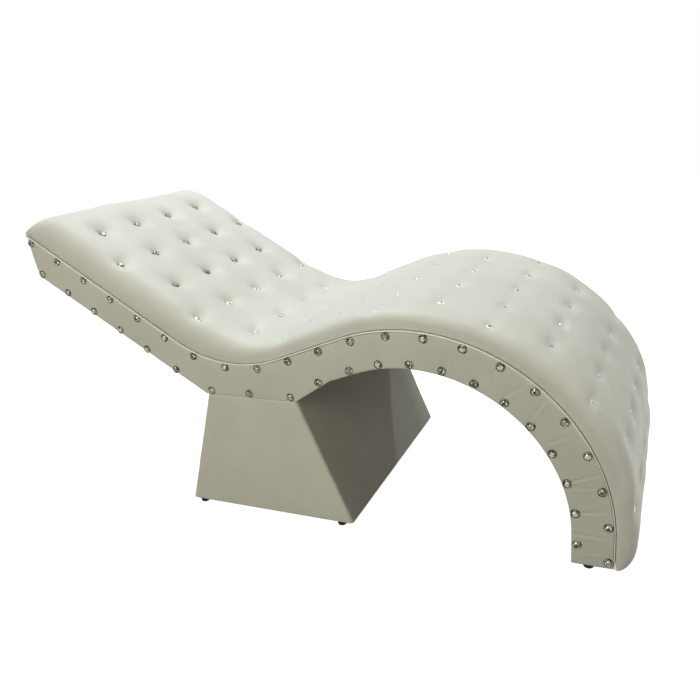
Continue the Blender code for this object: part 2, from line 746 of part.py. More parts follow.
def base_pieces(wood, board, cloth):
    whole = base_slab(0, FLOOR_CLEARANCE, BASE_TOP)
    prism("base_right_cover", whole, -HALF_WIDTH, -HALF_WIDTH + COVER_T, cloth)
    prism("base_left_cover", whole, HALF_WIDTH - COVER_T, HALF_WIDTH, cloth)
    panel = base_slab(BOARD_INSET, FLOOR_CLEARANCE, BASE_TOP)
    for name, side in (("right", -1), ("left", 1)):
        faces = sorted((side * INNER_HALF, side * (INNER_HALF - BASE_PANEL_T)))
        side_panel = prism(f"base_{name}_panel", panel, faces[0], faces[1], board)
        drill_nails(side_panel, f"base_{name}_nail_holes", base_glide_places(side))
    for end, side in (("head", -1), ("foot", 1)):
        skin = base_strip(side, 0, COVER_T, FLOOR_CLEARANCE, BASE_TOP)
        prism(f"base_{end}_cover", skin, -INNER_HALF, INNER_HALF, cloth)
        strip = base_strip(side, BOARD_INSET, BOARD_INSET + BASE_PANEL_T, FLOOR_CLEARANCE,
                           BASE_TOP)
        prism(f"base_{end}_panel", strip, -BASE_INNER_HALF, BASE_INNER_HALF, board)
    top = base_slab(BASE_INNER_INSET, BASE_TOP - BOARD_T, BASE_TOP)
    top_board = prism("base_top_board", top, -BASE_INNER_HALF, BASE_INNER_HALF, wood)
    drill_bolts(top_board, "base_top_holes", BASE_TOP - BOARD_T, BOLT_RADIUS + GAP)
    bottom = base_slab(BASE_INNER_INSET, FLOOR_CLEARANCE, FLOOR_CLEARANCE + BOARD_T)
    prism("base_bottom_board", bottom, -BASE_INNER_HALF, BASE_INNER_HALF, wood)
    number = 1
    z_low, z_high = FLOOR_CLEARANCE + BOARD_T + GAP, BASE_TOP - BOARD_T - GAP
    for side in (-1, 1):
        outline = base_strip(side, BASE_INNER_INSET, BASE_INNER_INSET + CORNER_BLOCK, z_low, z_high)
        for y in (-BASE_INNER_HALF, BASE_INNER_HALF - CORNER_BLOCK):
            prism(f"base_corner_block_{number}", outline, y, y + CORNER_BLOCK, wood)
            number += 1


def base_glide_places(side):
    """The glides nailed into the lower edge of one side panel of the base."""
    half = BASE_FOOT_LENGTH / 2 - GLIDE_END_INSET
    return [(BASE_MIDDLE_X + end * half, side * (HALF_WIDTH - GLIDE_SIDE_INSET))
            for end in (-1, 1)]


def foot_glide_places():
    return [(-SIDE_HEIGHT * FOOT_GLIDE_SHARE, side * (HALF_WIDTH - GLIDE_SIDE_INSET))
            for side in (-1, 1)]


def drill_nails(board, name, places):
    bm = bmesh.new()
    for x, y in places:
        add_turned(bm, Vector((x, y, FLOOR_CLEARANCE - OVERRUN)), Vector((0, 0, 1)),
                   Vector((1, 0, 0)), [(NAIL_RADIUS + GAP, 0),
                                       (NAIL_RADIUS + GAP, NAIL_LENGTH + OVERRUN + GAP)],
                   NAIL_SIDES)
    cut(board, name, bm)


def glides(plastic):
    """Nail-in glides: a round foot with its nail, one solid each."""
    top = FLOOR_CLEARANCE - GAP
    profile = [(GLIDE_TIP_RADIUS, 0), (GLIDE_RADIUS, GLIDE_ROUND),
               (GLIDE_RADIUS, top - GLIDE_ROUND),
               (GLIDE_TIP_RADIUS, top), (NAIL_RADIUS, top), (NAIL_RADIUS, top + NAIL_LENGTH)]
    base_places = base_glide_places(-1) + base_glide_places(1)
    named = [(f"base_glide_{i}", place) for i, place in enumerate(base_places, start=1)]
    named += [(f"foot_glide_{i}", place) for i, place in enumerate(foot_glide_places(), start=1)]
    for name, (x, y) in named:
        bm = bmesh.new()
        add_turned(bm, Vector((x, y, 0)), Vector((0, 0, 1)), Vector((1, 0, 0)), profile,
                   ROUND_SIDES)
        add_object(name, bm, plastic)


def bolt_places():
    return [(BASE_MIDDLE_X + i * BOLT_SPACING_X / 2, j * BOLT_SPACING_Y / 2)
            for i in (-1, 1) for j in (-1, 1)]


def drill_bolts(board, name, z_low, radius):
    bm = bmesh.new()
    for x, y in bolt_places():
        add_turned(bm, Vector((x, y, z_low - OVERRUN)), Vector((0, 0, 1)), Vector((1, 0, 0)),
                   [(radius, 0), (radius, BOARD_T + 2 * OVERRUN)], ROUND_SIDES)
    cut(board, name, bm)


def mounting_hardware(steel):
    """Bolts from inside the base through both boards into tee nuts on the mounting board."""
    up, across = Vector((0, 0, 1)), Vector((1, 0, 0))
    washer_top = BASE_TOP - BOARD_T - GAP
    head_top = washer_top - WASHER_T - GAP
    nut_seat = SEAT_LEVEL + BOARD_T + GAP
    bore = BOLT_RADIUS + GAP
    shank = nut_seat + TEE_NUT_FLANGE_T - head_top
    bolt_profile = [(BOLT_HEAD_RADIUS, -BOLT_HEAD_HEIGHT), (BOLT_HEAD_RADIUS, 0),
                    (BOLT_RADIUS, 0), (BOLT_RADIUS, shank)]
    washer_profile = [(bore, -WASHER_T), (WASHER_RADIUS, -WASHER_T), (WASHER_RADIUS, 0), (bore, 0)]
    nut_profile = [(bore, -TEE_NUT_BARREL_LENGTH),
                   (TEE_NUT_BARREL_RADIUS, -TEE_NUT_BARREL_LENGTH),
                   (TEE_NUT_BARREL_RADIUS, 0), (TEE_NUT_RADIUS, 0),
                   (TEE_NUT_RADIUS, TEE_NUT_FLANGE_T), (bore, TEE_NUT_FLANGE_T)]
    for number, (x, y) in enumerate(bolt_places(), start=1):
        bolt, washer, nut = bmesh.new(), bmesh.new(), bmesh.new()
        add_turned(bolt, Vector((x, y, head_top)), up, across, bolt_profile, ROUND_SIDES)
        add_tube(washer, Vector((x, y, washer_top)), up, across, washer_profile, ROUND_SIDES)
        add_tube(nut, Vector((x, y, nut_seat)), up, across, nut_profile, ROUND_SIDES)
        add_object(f"mounting_bolt_{number}", bolt, steel)
        add_object(f"bolt_washer_{number}", washer, steel)
        add_object(f"tee_nut_{number}", nut, steel)


def centre_on_origin():
    """Hang every piece on one empty, placed so that the bed's middle is at x = 0."""
    pieces = [piece for piece in bpy.data.objects if piece.type == "MESH"]
    shown = [piece for piece in pieces if not piece.hide_render]
    xs = [vert.co.x for piece in shown for vert in piece.data.vertices]
    origin = bpy.data.objects.new("bed_origin", None)
    bpy.context.collection.objects.link(origin)
    for piece in pieces:
        piece.parent = origin
    origin.location = (-(min(xs) + max(xs)) / 2, 0, 0)


def main():
    clear_scene()
    leather = material("pearl_leatherette", (0.78, 0.79, 0.75), 0.35)
    trim = material("welt_leatherette", (0.82, 0.82, 0.78), 0.35)
    lining = material("lining_leatherette", (0.60, 0.59, 0.54), 0.45)
    foam = material("foam", (0.85, 0.78, 0.55), 0.9)
    wood = material("pine", (0.62, 0.45, 0.27), 0.7)
    board = material("plywood", (0.66, 0.50, 0.32), 0.7)
    crystal = material("crystal_in_chrome", (0.70, 0.71, 0.74), 0.08, 1.0)
    steel = material("zinc_steel", (0.60, 0.60, 0.58), 0.35, 1.0)
    plastic = material("black_plastic", (0.02, 0.02, 0.02), 0.4)
    frame_pieces(wood, board)
    cross_rails(wood)
    underside_pieces(board, lining)
    side_covers(leather, crystal)
    welts(trim)
    sweep("foam_core", core_rings(0, GAP), foam)
    pad(leather, crystal)
    base_pieces(wood, board, leather)
    glides(plastic)
    mounting_hardware(steel)
    centre_on_origin()


main()
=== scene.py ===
"""Looks of the tufted S-shaped salon bed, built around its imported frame.

Metres, in the frame's axes: the head lies at -X, the foot at +X, and the photographed side
at -Y. Every upholstered piece follows the seam line between the pad and the sides, as the
solids do. A depth is measured from the seam down into the body, a height up into the pad.
"""
import json
from math import cos, pi, radians, sin, sqrt

import bpy
import numpy as np
from mathutils import Matrix, Vector


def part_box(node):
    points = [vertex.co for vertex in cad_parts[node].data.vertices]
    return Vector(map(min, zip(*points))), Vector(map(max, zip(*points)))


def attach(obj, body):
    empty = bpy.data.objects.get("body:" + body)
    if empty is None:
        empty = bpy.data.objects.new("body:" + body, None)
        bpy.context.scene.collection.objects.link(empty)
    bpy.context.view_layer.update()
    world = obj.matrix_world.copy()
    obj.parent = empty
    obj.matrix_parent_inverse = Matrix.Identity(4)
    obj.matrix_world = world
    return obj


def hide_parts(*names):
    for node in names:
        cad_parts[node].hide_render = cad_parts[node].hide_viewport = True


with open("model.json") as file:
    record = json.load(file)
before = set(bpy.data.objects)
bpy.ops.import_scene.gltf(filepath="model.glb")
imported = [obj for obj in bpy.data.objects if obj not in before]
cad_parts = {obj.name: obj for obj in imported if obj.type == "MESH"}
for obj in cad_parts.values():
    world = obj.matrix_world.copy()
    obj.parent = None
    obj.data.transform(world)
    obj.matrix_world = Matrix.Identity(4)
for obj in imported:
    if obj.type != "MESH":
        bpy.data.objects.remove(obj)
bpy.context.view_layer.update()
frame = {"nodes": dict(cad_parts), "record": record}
RNG = np.random.default_rng(11)

# The frame's sizes, as the solids have them
BED_WIDTH = 0.735
HALF_WIDTH = BED_WIDTH / 2
SIDE_HEIGHT = 0.1025
FLOOR_CLEARANCE = 0.012
GAP = 0.0003
FOOT_RISE = 0.085
CREST_RADIUS = 0.5125
RISE_RUN = 0.215
RISE_ANGLE = radians(19.3)
VALLEY_RADIUS = 0.3875
HEAD_RUN = 0.595
HEAD_ANGLE = radians(32.6)
HEAD_CUT_LEAN = radians(6.4)
SHOULDER_ANGLE = radians(32.0)
SEAT_HEAD_TRIM = 0.013
COVER_T = 0.003
LINING_T = 0.0015
DECK_T = 0.006
WELT_RADIUS = 0.0025
BASE_SETBACK = 0.002
BASE_TOP_LENGTH = 0.300
BASE_FOOT_LENGTH = 0.560
FOOT_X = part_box("foot_end_board")[1].x + DECK_T + GAP
INNER_HALF = HALF_WIDTH - COVER_T - GAP
RIM_HEIGHT = WELT_RADIUS + 2 * GAP
RIM_Y = HALF_WIDTH - COVER_T + WELT_RADIUS

CREST_LENGTH = CREST_RADIUS * (pi / 2 + RISE_ANGLE)
VALLEY_LENGTH = VALLEY_RADIUS * (RISE_ANGLE + HEAD_ANGLE)
SEAM_RUNS = (
    (FOOT_RISE, 0),
    (CREST_LENGTH, CREST_RADIUS),
    (RISE_RUN, 0),
    (VALLEY_LENGTH, -VALLEY_RADIUS),
    (HEAD_RUN, 0),
)
SEAM_LENGTH = sum(length for length, _ in SEAM_RUNS)
FINE_MARKS = 4000
TINY = 1e-12

# Pad, from its thick head over its waist to the foot
HEAD_PAD, WAIST_PAD, FOOT_PAD, FOOT_END_PAD = 0.097, 0.050, 0.061, 0.050
# Shares of the seam's length between which the pad changes to its waist, foot and foot end
WAIST_SHARES, FOOT_SHARES, FOOT_END_SHARES = (0.28, 0.43), (0.62, 0.76), (0.86, 0.94)
PAD_EDGE = 0.055
HEAD_BULGE, WAIST_BULGE, FOOT_BULGE = 0.006, 0.0015, 0.0035
PAD_WALL_SHARE = 0.30
HEAD_EDGE_POWER, WAIST_EDGE_POWER, FOOT_EDGE_POWER = 0.85, 0.78, 0.85
HEAD_ROUND, FOOT_ROUND = 0.110, 0.050
HEAD_LIP_SHARE, FOOT_LIP_SHARE = 0.14, 0.32
PAD_GRID = 0.0055
TUFT_SIDE_MARGIN = 0.0425
TUFTS_IN_EVEN_ROW, TUFTS_IN_ODD_ROW = 4, 5
MOST_TUFT_ROWS = 20
TUFT_PITCH = (BED_WIDTH - 2 * TUFT_SIDE_MARGIN) / (TUFTS_IN_ODD_ROW - 1)
TUFT_ROW_PITCH = 0.1492
FIRST_TUFT_ROW = 0.1697
LAST_TUFT_MARGIN = 0.100
HEAD_TUFT_DEPTH, WAIST_TUFT_DEPTH = 0.024, 0.006
# The far half of the head end sags
SAG_DEPTH = 0.0125
SAG_LENGTH = 0.170
SAG_SPAN = (-0.10, 0.15)

# Studs
STUD_RADIUS = 0.012
STUD_COUNT_TOP, STUD_COUNT_BOTTOM = 22, 21
TOP_STUD_START, TOP_STUD_END = 0.024, 0.0172
TOP_STUD_DEPTH = 0.0148
BOTTOM_STUD_START = 0.0893
BOTTOM_STUD_MARGIN = 0.014
STUD_PITCH_DRIFT = 0.00018
STUD_PITCH = (SEAM_LENGTH - TOP_STUD_START - TOP_STUD_END) / (STUD_COUNT_TOP - 1)


def seam(distance):
    """Points and outward normals (x, z, nx, nz) of the seam at distances from its head end."""
    left = SEAM_LENGTH - np.asarray(distance, float)
    x = np.full_like(left, FOOT_X)
    z = np.full_like(left, FLOOR_CLEARANCE)
    heading = np.full_like(left, pi / 2)
    for length, radius in SEAM_RUNS:
        step = np.clip(left, 0, length)
        if radius:
            turned = heading + step / radius
            x = x + radius * (np.sin(turned) - np.sin(heading))
            z = z - radius * (np.cos(turned) - np.cos(heading))
            heading = turned
        else:
            x = x + step * np.cos(heading)
            z = z + step * np.sin(heading)
        left = left - step
    return x, z, np.sin(heading), -np.cos(heading)


def seam_bend(distance):
    """Curvature of the seam: positive over the crest, negative in the valley."""
    left = SEAM_LENGTH - np.asarray(distance, float)
    bend = np.zeros_like(left)
    start = 0.0
    for length, radius in SEAM_RUNS:
        if radius:
            bend = np.where((left > start) & (left <= start + length), 1 / radius, bend)
        start += length
    return bend


def off_seam(distance, height):
    x, z, nx, nz = seam(distance)
    return x + nx * height, z + nz * height


def lines_at(x, z, places):
    """One line in the XZ plane at each of some places across the bed, as columns of a grid."""
    return [np.stack([x, np.full_like(x, place), z], axis=-1)[:, None] for place in places]


def ease(value, start, end):
    share = np.clip((value - start) / (end - start), 0, 1)
    return share * share * (3 - 2 * share)


def along_pad(distance, head, waist, foot):
    share = np.asarray(distance, float) / SEAM_LENGTH
    return (head + (waist - head) * ease(share, *WAIST_SHARES)
            + (foot - waist) * ease(share, *FOOT_SHARES))


def pad_height(distance):
    thinned = (FOOT_PAD - FOOT_END_PAD) * ease(np.asarray(distance) / SEAM_LENGTH, *FOOT_END_SHARES)
    return along_pad(distance, HEAD_PAD, WAIST_PAD, FOOT_PAD) - thinned


def pad_bulge(distance):
    """How far the pad's sides stand out past the frame."""
    return along_pad(distance, HEAD_BULGE, WAIST_BULGE, FOOT_BULGE)


def tuft_depth(distance):
    return along_pad(distance, HEAD_TUFT_DEPTH, WAIST_TUFT_DEPTH, WAIST_TUFT_DEPTH)


def tuft_rows():
    """Seam distances of the tuft rows, evenly spaced over the tufted surface."""
    fine = np.linspace(0, SEAM_LENGTH, FINE_MARKS)
    stretch = 1 + (pad_height(fine) - tuft_depth(fine)) * seam_bend(fine)
    surface = np.concatenate([[0], np.cumsum((stretch[1:] + stretch[:-1]) / 2 * np.diff(fine))])
    rows = np.interp(FIRST_TUFT_ROW + TUFT_ROW_PITCH * np.arange(MOST_TUFT_ROWS), surface, fine)
    return rows[rows < SEAM_LENGTH - LAST_TUFT_MARGIN]


def tufts():
    """Seam distance and side place of every tuft: rows of four and five by turns."""
    places = []
    for number, distance in enumerate(tuft_rows()):
        count = TUFTS_IN_ODD_ROW if number % 2 else TUFTS_IN_EVEN_ROW
        places += [(distance, (i - (count - 1) / 2) * TUFT_PITCH) for i in range(count)]
    return np.array(places)


def unit(vectors):
    return vectors / np.maximum(np.linalg.norm(vectors, axis=-1, keepdims=True), TINY)


RIPPLE_SPREAD = 1.4


def ripple(points, noise, rng):
    """Smooth seeded noise of many waves, from its (height, shortest, longest, count)."""
    height, shortest, longest, count = noise
    total = np.zeros(points.shape[:-1])
    for _ in range(count):
        wave = unit(rng.normal(size=3)) * 2 * pi / rng.uniform(shortest, longest)
        total += np.sin(points @ wave + rng.uniform(0, 2 * pi))
    return height * total / sqrt(count) / RIPPLE_SPREAD


def make_piece(name, verts, faces, mat, replaced=(), smooth=True):
    """A mesh that rides on the root, with its faces turned outwards."""
    mesh = bpy.data.meshes.new(name)
    mesh.from_pydata(np.asarray(verts).reshape(-1, 3).tolist(), [], faces)
    mesh.materials.append(mat)
    mesh.polygons.foreach_set("use_smooth", [smooth] * len(mesh.polygons))
    mesh.update()
    if signed_volume(mesh) < 0:
        mesh.flip_normals()
    piece = bpy.data.objects.new(name, mesh)
    bpy.context.collection.objects.link(piece)
    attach(piece, "root")
    if replaced:
        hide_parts(*replaced)
    return piece


def signed_volume(mesh):
    """Six times the volume inside a closed mesh, negative where its faces look inwards."""
    mesh.calc_loop_triangles()
    co = np.empty(len(mesh.vertices) * 3)
    mesh.vertices.foreach_get("co", co)
    tri = np.empty(len(mesh.loop_triangles) * 3, int)
    mesh.loop_triangles.foreach_get("vertices", tri)
    a, b, c = (co.reshape(-1, 3)[tri.reshape(-1, 3)[:, k]] for k in range(3))
    return float(np.einsum("ij,ij->", a, np.cross(b, c)))


def loop_faces(rows, cols, closed=False):
    """Faces between rows of closed loops, with a cap on each open end."""
    faces = []
    for i in range(rows if closed else rows - 1):
        a, b = i * cols, (i + 1) % rows * cols
        faces += [(a + j, a + (j + 1) % cols, b + (j + 1) % cols, b + j) for j in range(cols)]
    if not closed:
        faces.append(tuple(reversed(range(cols))))
        faces.append(tuple(range((rows - 1) * cols, rows * cols)))
    return faces


def loft(name, loops, mat, replaced, closed=False):
    """One closed body through rows of loops."""
    faces = loop_faces(*loops.shape[:2], closed)
    return make_piece(name, loops, faces, mat, replaced)


# Materials
def new_material(name):
    mat = bpy.data.materials.new(name)
    mat.use_nodes = True
    nodes, links = mat.node_tree.nodes, mat.node_tree.links
    return mat, nodes, links, nodes["Principled BSDF"]


def add_node(nodes, kind, **values):
    node = nodes.new(kind)
    for key, value in values.items():
        if key in node.inputs:
            node.inputs[key].default_value = value
        else:
            setattr(node, key, value)
    return node


def colour_by(nodes, links, shader, source, stops):
    """Colours a shader by a value, through a ramp of (place, colour) stops."""
    ramp = nodes.new("ShaderNodeValToRGB")
    links.new(source, ramp.inputs["Fac"])
    while len(ramp.color_ramp.elements) < len(stops):
        ramp.color_ramp.elements.new(0.5)
    for element, (place, colour) in zip(ramp.color_ramp.elements, stops):
        element.position = place
        element.color = (*colour, 1)
    links.new(ramp.outputs["Color"], shader.inputs["Base Color"])


def texture(nodes, links, kind, **values):
    """A procedural texture in the object's own space."""
    node = add_node(nodes, kind, **values)
    links.new(nodes.new("ShaderNodeTexCoord").outputs["Object"], node.inputs["Vector"])
    return node


def blend(nodes, links, first, share, second):
    """The second value, with a share of the first one added."""
    node = add_node(nodes, "ShaderNodeMath", operation="MULTIPLY_ADD")
    node.inputs[1].default_value = share
    links.new(first, node.inputs[0])
    links.new(second, node.inputs[2])
    return node.outputs[0]


def vary_roughness(nodes, links, shader, source, low, high):
    span = nodes.new("ShaderNodeMapRange")
    set_inputs(span, To_Min=low, To_Max=high)
    links.new(source, span.inputs["Value"])
    links.new(span.outputs["Result"], shader.inputs["Roughness"])


def set_inputs(node, **values):
    """Sets inputs by their names, with _ for each space."""
    for key, value in values.items():
        node.inputs[key.replace("_", " ")].default_value = value


def bump(nodes, links, height, strength, distance, before=None):
    node = add_node(nodes, "ShaderNodeBump", Strength=strength, Distance=distance)
    links.new(height, node.inputs["Height"])
    if before is not None:
        links.new(before, node.inputs["Normal"])
    return node.outputs["Normal"]


# Where the two tones of leatherette lie in its noise, and its bumps by strength and distance
LEATHER_STOPS = (0.40, 0.75)
FLECK_SHARE = 0.25
LESS_ROUGH, MORE_ROUGH = 0.05, 0.08
PEBBLE_EDGE = 0.12
PEBBLE_BUMP = (0.35, 0.00096)
CREASE_BUMP = (0.12, 0.0016)


def leatherette(name, light, dark, roughness=0.42, coat=0.02, shine=0.14):
    """Coated leatherette: pebbled grain, soft creases, and a slow change of tone and gloss."""
    mat, nodes, links, shader = new_material(name)
    tone = texture(nodes, links, "ShaderNodeTexNoise", Scale=7.0, Detail=3.0, Roughness=0.55)
    fleck = texture(nodes, links, "ShaderNodeTexNoise", Scale=160.0, Detail=2.0, Roughness=0.6)
    pebble = texture(nodes, links, "ShaderNodeTexVoronoi", Scale=620.0, feature="DISTANCE_TO_EDGE")
    crease = texture(nodes, links, "ShaderNodeTexNoise", Scale=46.0, Detail=4.0, Roughness=0.6)
    shade = blend(nodes, links, fleck.outputs["Fac"], FLECK_SHARE, tone.outputs["Fac"])
    colour_by(nodes, links, shader, shade, tuple(zip(LEATHER_STOPS, (dark, light))))
    vary_roughness(nodes, links, shader, crease.outputs["Fac"], roughness - LESS_ROUGH,
                   roughness + MORE_ROUGH)
    cells = add_node(nodes, "ShaderNodeMath", operation="MINIMUM")
    cells.inputs[1].default_value = PEBBLE_EDGE
    links.new(pebble.outputs["Distance"], cells.inputs[0])
    fine = bump(nodes, links, cells.outputs[0], *PEBBLE_BUMP)
    links.new(bump(nodes, links, crease.outputs["Fac"], *CREASE_BUMP, fine), shader.inputs["Normal"])
    set_inputs(shader, Specular_IOR_Level=shine, Coat_Weight=coat, Coat_Roughness=0.20)
    return mat


PORE_BUMP, CELL_BUMP, SKIN_BUMP = (0.3, 0.0004), (0.6, 0.0008), (0.2, 0.0002)


def timber(name, light, dark, stretch):
    """Bare wood: rings drawn out along the grain, with fine pores."""
    mat, nodes, links, shader = new_material(name)
    mapping = texture(nodes, links, "ShaderNodeMapping", Scale=stretch)
    grain = add_node(nodes, "ShaderNodeTexNoise", Scale=9.0, Detail=6.0, Roughness=0.62,
                     Distortion=0.6)
    pores = add_node(nodes, "ShaderNodeTexNoise", Scale=240.0, Detail=2.0)
    for node in (grain, pores):
        links.new(mapping.outputs["Vector"], node.inputs["Vector"])
    stops = ((0.32, dark), (0.52, light), (0.70, dark))
    colour_by(nodes, links, shader, grain.outputs["Fac"], stops)
    links.new(bump(nodes, links, pores.outputs["Fac"], *PORE_BUMP), shader.inputs["Normal"])
    set_inputs(shader, Roughness=0.66)
    return mat


def open_foam(name, colour, dark):
    """Foam whose open cells are painted as small dark pits: painted shade in the cells."""
    mat, nodes, links, shader = new_material(name)
    cells = texture(nodes, links, "ShaderNodeTexVoronoi", Scale=420.0)
    colour_by(nodes, links, shader, cells.outputs["Distance"], ((0.0, dark), (0.5, colour)))
    links.new(bump(nodes, links, cells.outputs["Distance"], *CELL_BUMP), shader.inputs["Normal"])
    set_inputs(shader, Roughness=0.95)
    return mat


HAZE_ROUGH = 0.1


def metal(name, light, dark, roughness, scale=95.0):
    """Bare or plated metal, with a haze that varies its tone and gloss."""
    mat, nodes, links, shader = new_material(name)
    haze = texture(nodes, links, "ShaderNodeTexNoise", Scale=scale, Detail=4.0)
    colour_by(nodes, links, shader, haze.outputs["Fac"], ((0.35, dark), (0.65, light)))
    vary_roughness(nodes, links, shader, haze.outputs["Fac"], roughness, roughness + HAZE_ROUGH)
    set_inputs(shader, Metallic=1.0)
    return mat


def moulded(name, colour, dark):
    """Moulded plastic with a fine dull skin."""
    mat, nodes, links, shader = new_material(name)
    skin = texture(nodes, links, "ShaderNodeTexNoise", Scale=900.0, Detail=2.0)
    colour_by(nodes, links, shader, skin.outputs["Fac"], ((0.4, dark), (0.6, colour)))
    links.new(bump(nodes, links, skin.outputs["Fac"], *SKIN_BUMP), shader.inputs["Normal"])
    set_inputs(shader, Roughness=0.55, Specular_IOR_Level=0.15)
    return mat


CLOUD_SHARE = 0.12
# Tones of the painted facet reflections, from dark crescent to bright glint
CRYSTAL_STOPS = (
    (0.05, (0.012, 0.011, 0.008)),
    (0.6, (0.33, 0.32, 0.25)),
    (1.0, (0.90, 0.92, 0.90)),
)


def cut_crystal(name):
    """Crystal whose facets carry painted reflections: each facet has its own dark, mid or bright
    tone, under a clear coat.
    """
    mat, nodes, links, shader = new_material(name)
    facet = add_node(nodes, "ShaderNodeAttribute", attribute_name="facet")
    cloud = texture(nodes, links, "ShaderNodeTexNoise", Scale=300.0)
    tone = blend(nodes, links, cloud.outputs["Fac"], CLOUD_SHARE, facet.outputs["Fac"])
    colour_by(nodes, links, shader, tone, CRYSTAL_STOPS)
    set_inputs(shader, Metallic=0.85, Roughness=0.16, Coat_Weight=0.25, Coat_Roughness=0.05)
    return mat


PAD_LEATHER = leatherette("pad_leatherette", (0.80, 0.81, 0.755), (0.75, 0.76, 0.70), shine=0.08)
# The sides' leather is the pad's pearl leatherette painted darker and yellower: painted shade, as
# the sides look under the pad
SHADED_SIDE_LEATHER = leatherette("side_leatherette_painted_shade", (0.74, 0.733, 0.65), (0.69, 0.683, 0.60))
# The base's leather is the same pearl leatherette painted a little darker and yellower: painted
# shade
SHADED_BASE_LEATHER = leatherette("base_leatherette_painted_shade", (0.78, 0.768, 0.68), (0.73, 0.718, 0.63),
                           roughness=0.50, shine=0.15)
# The welt's leather is the same pearl leatherette painted near white: a painted highlight along the
# piping
HIGHLIT_WELT_LEATHER = leatherette("welt_leatherette", (0.97, 0.96, 0.88), (0.93, 0.92, 0.83),
                           roughness=0.30, coat=0.6, shine=0.6)
LINING_LEATHER = leatherette("lining_leatherette", (0.60, 0.585, 0.51), (0.53, 0.515, 0.44),
                             roughness=0.50, shine=0.15)
PINE = timber("pine", (0.66, 0.49, 0.29), (0.50, 0.34, 0.18), (1.0, 9.0, 9.0))
PLYWOOD = timber("plywood", (0.68, 0.53, 0.35), (0.55, 0.40, 0.24), (2.0, 5.0, 14.0))
FOAM = open_foam("foam", (0.86, 0.80, 0.58), (0.66, 0.58, 0.36))
STEEL = metal("zinc_steel", (0.66, 0.66, 0.64), (0.50, 0.50, 0.49), roughness=0.30, scale=90.0)
# The stud cups' metal is painted dark: a painted dark reflection that rings each stud
CHROME = metal("stud_chrome", (0.30, 0.29, 0.24), (0.03, 0.028, 0.02), roughness=0.12)
# Tuft cups: one metal in a shaded copy for the head and a lit copy for the waist, painted shade and
# painted light
SHADED_HEAD_CHROME = metal("head_chrome_painted_shade", (0.34, 0.34, 0.31), (0.08, 0.08, 0.07), roughness=0.16)
LIT_WAIST_CHROME = metal("waist_chrome_painted_light", (0.72, 0.73, 0.68), (0.62, 0.63, 0.585), roughness=0.36)
PLASTIC = moulded("black_plastic", (0.014, 0.014, 0.014), (0.008, 0.008, 0.008))
CRYSTAL = cut_crystal("crystal")
NODE_MATERIALS = {
    "pearl_leatherette": SHADED_BASE_LEATHER,
    "welt_leatherette": HIGHLIT_WELT_LEATHER,
    "lining_leatherette": LINING_LEATHER,
    "foam": FOAM,
    "pine": PINE,
    "plywood": PLYWOOD,
    "zinc_steel": STEEL,
    "black_plastic": PLASTIC,
}


def dress_nodes():
    """Every carried-over solid gets the procedural material of its slot."""
    slots = {part["node"]: part["material_slot"] for part in frame["record"]["subparts"]}
    for name, node in frame["nodes"].items():
        for holder in node.material_slots:
            holder.material = NODE_MATERIALS[slots[name]]


# The pad
HEAD_ROWS, FOOT_ROWS = 18, 14
WALL_POINTS, EDGE_POINTS = 8, 14
WALL, EDGE, TOP = 0, 1, 2


def rounded(gone, reach):
    """How far out a rounded edge stands, as a share, at a distance in from its start."""
    return np.sqrt(1 - (1 - np.clip(gone / reach, 0, 1)) ** 2)


def end_share(distance):
    """How much of its full height the pad has near its two ends."""
    head = HEAD_LIP_SHARE + (1 - HEAD_LIP_SHARE) * rounded(distance, HEAD_ROUND)
    foot = FOOT_LIP_SHARE + (1 - FOOT_LIP_SHARE) * rounded(SEAM_LENGTH - distance, FOOT_ROUND)
    return np.minimum(head, foot)


def end_spacing(reach, count):
    """Places over a reach, closest together at its start."""
    return reach * (1 - np.cos(np.linspace(0, pi / 2, count)))


def section_shares():
    """Half across the pad, from the rim to the middle: (kind, share) of wall, edge and top."""
    wall = [(WALL, share) for share in np.linspace(0, 1, WALL_POINTS)[:-1]]
    edge = [(EDGE, share) for share in np.linspace(0, 1, EDGE_POINTS)[:-1]]
    steps = int((HALF_WIDTH - PAD_EDGE) / PAD_GRID)
    return wall + edge + [(TOP, share) for share in np.linspace(0, 1, steps)]


def base_section(distance):
    """Smooth cross-sections (y, height) at the given distances, before any tufting."""
    full = pad_height(distance)[:, None]
    wall = RIM_HEIGHT + (full - RIM_HEIGHT) * PAD_WALL_SHARE
    flat = HALF_WIDTH - PAD_EDGE
    bulge = HALF_WIDTH + pad_bulge(distance)[:, None]
    kinds, shares = (np.array(column) for column in zip(*section_shares()))
    angle = shares * pi / 2
    power = along_pad(distance, HEAD_EDGE_POWER, WAIST_EDGE_POWER, FOOT_EDGE_POWER)[:, None]
    out, up = np.cos(angle) ** power, np.sin(angle) ** power
    y = np.where(kinds == WALL, RIM_Y + (bulge - RIM_Y) * np.sin(angle),
                 np.where(kinds == EDGE, flat + (bulge - flat) * out, flat * (1 - shares)))
    h = np.where(kinds == WALL, RIM_HEIGHT + (wall - RIM_HEIGHT) * shares,
                 np.where(kinds == EDGE, wall + (full - wall) * up, full))
    y = np.broadcast_to(y, h.shape)
    h = RIM_HEIGHT + (h - RIM_HEIGHT) * end_share(distance)[:, None]
    y = np.concatenate([-y, y[:, -2::-1]], axis=1)
    h = np.concatenate([h, h[:, -2::-1]], axis=1)
    return y, h


def grid_normals(points):
    along = np.gradient(points, axis=0)
    across = np.gradient(points, axis=1)
    return unit(np.cross(along, across))


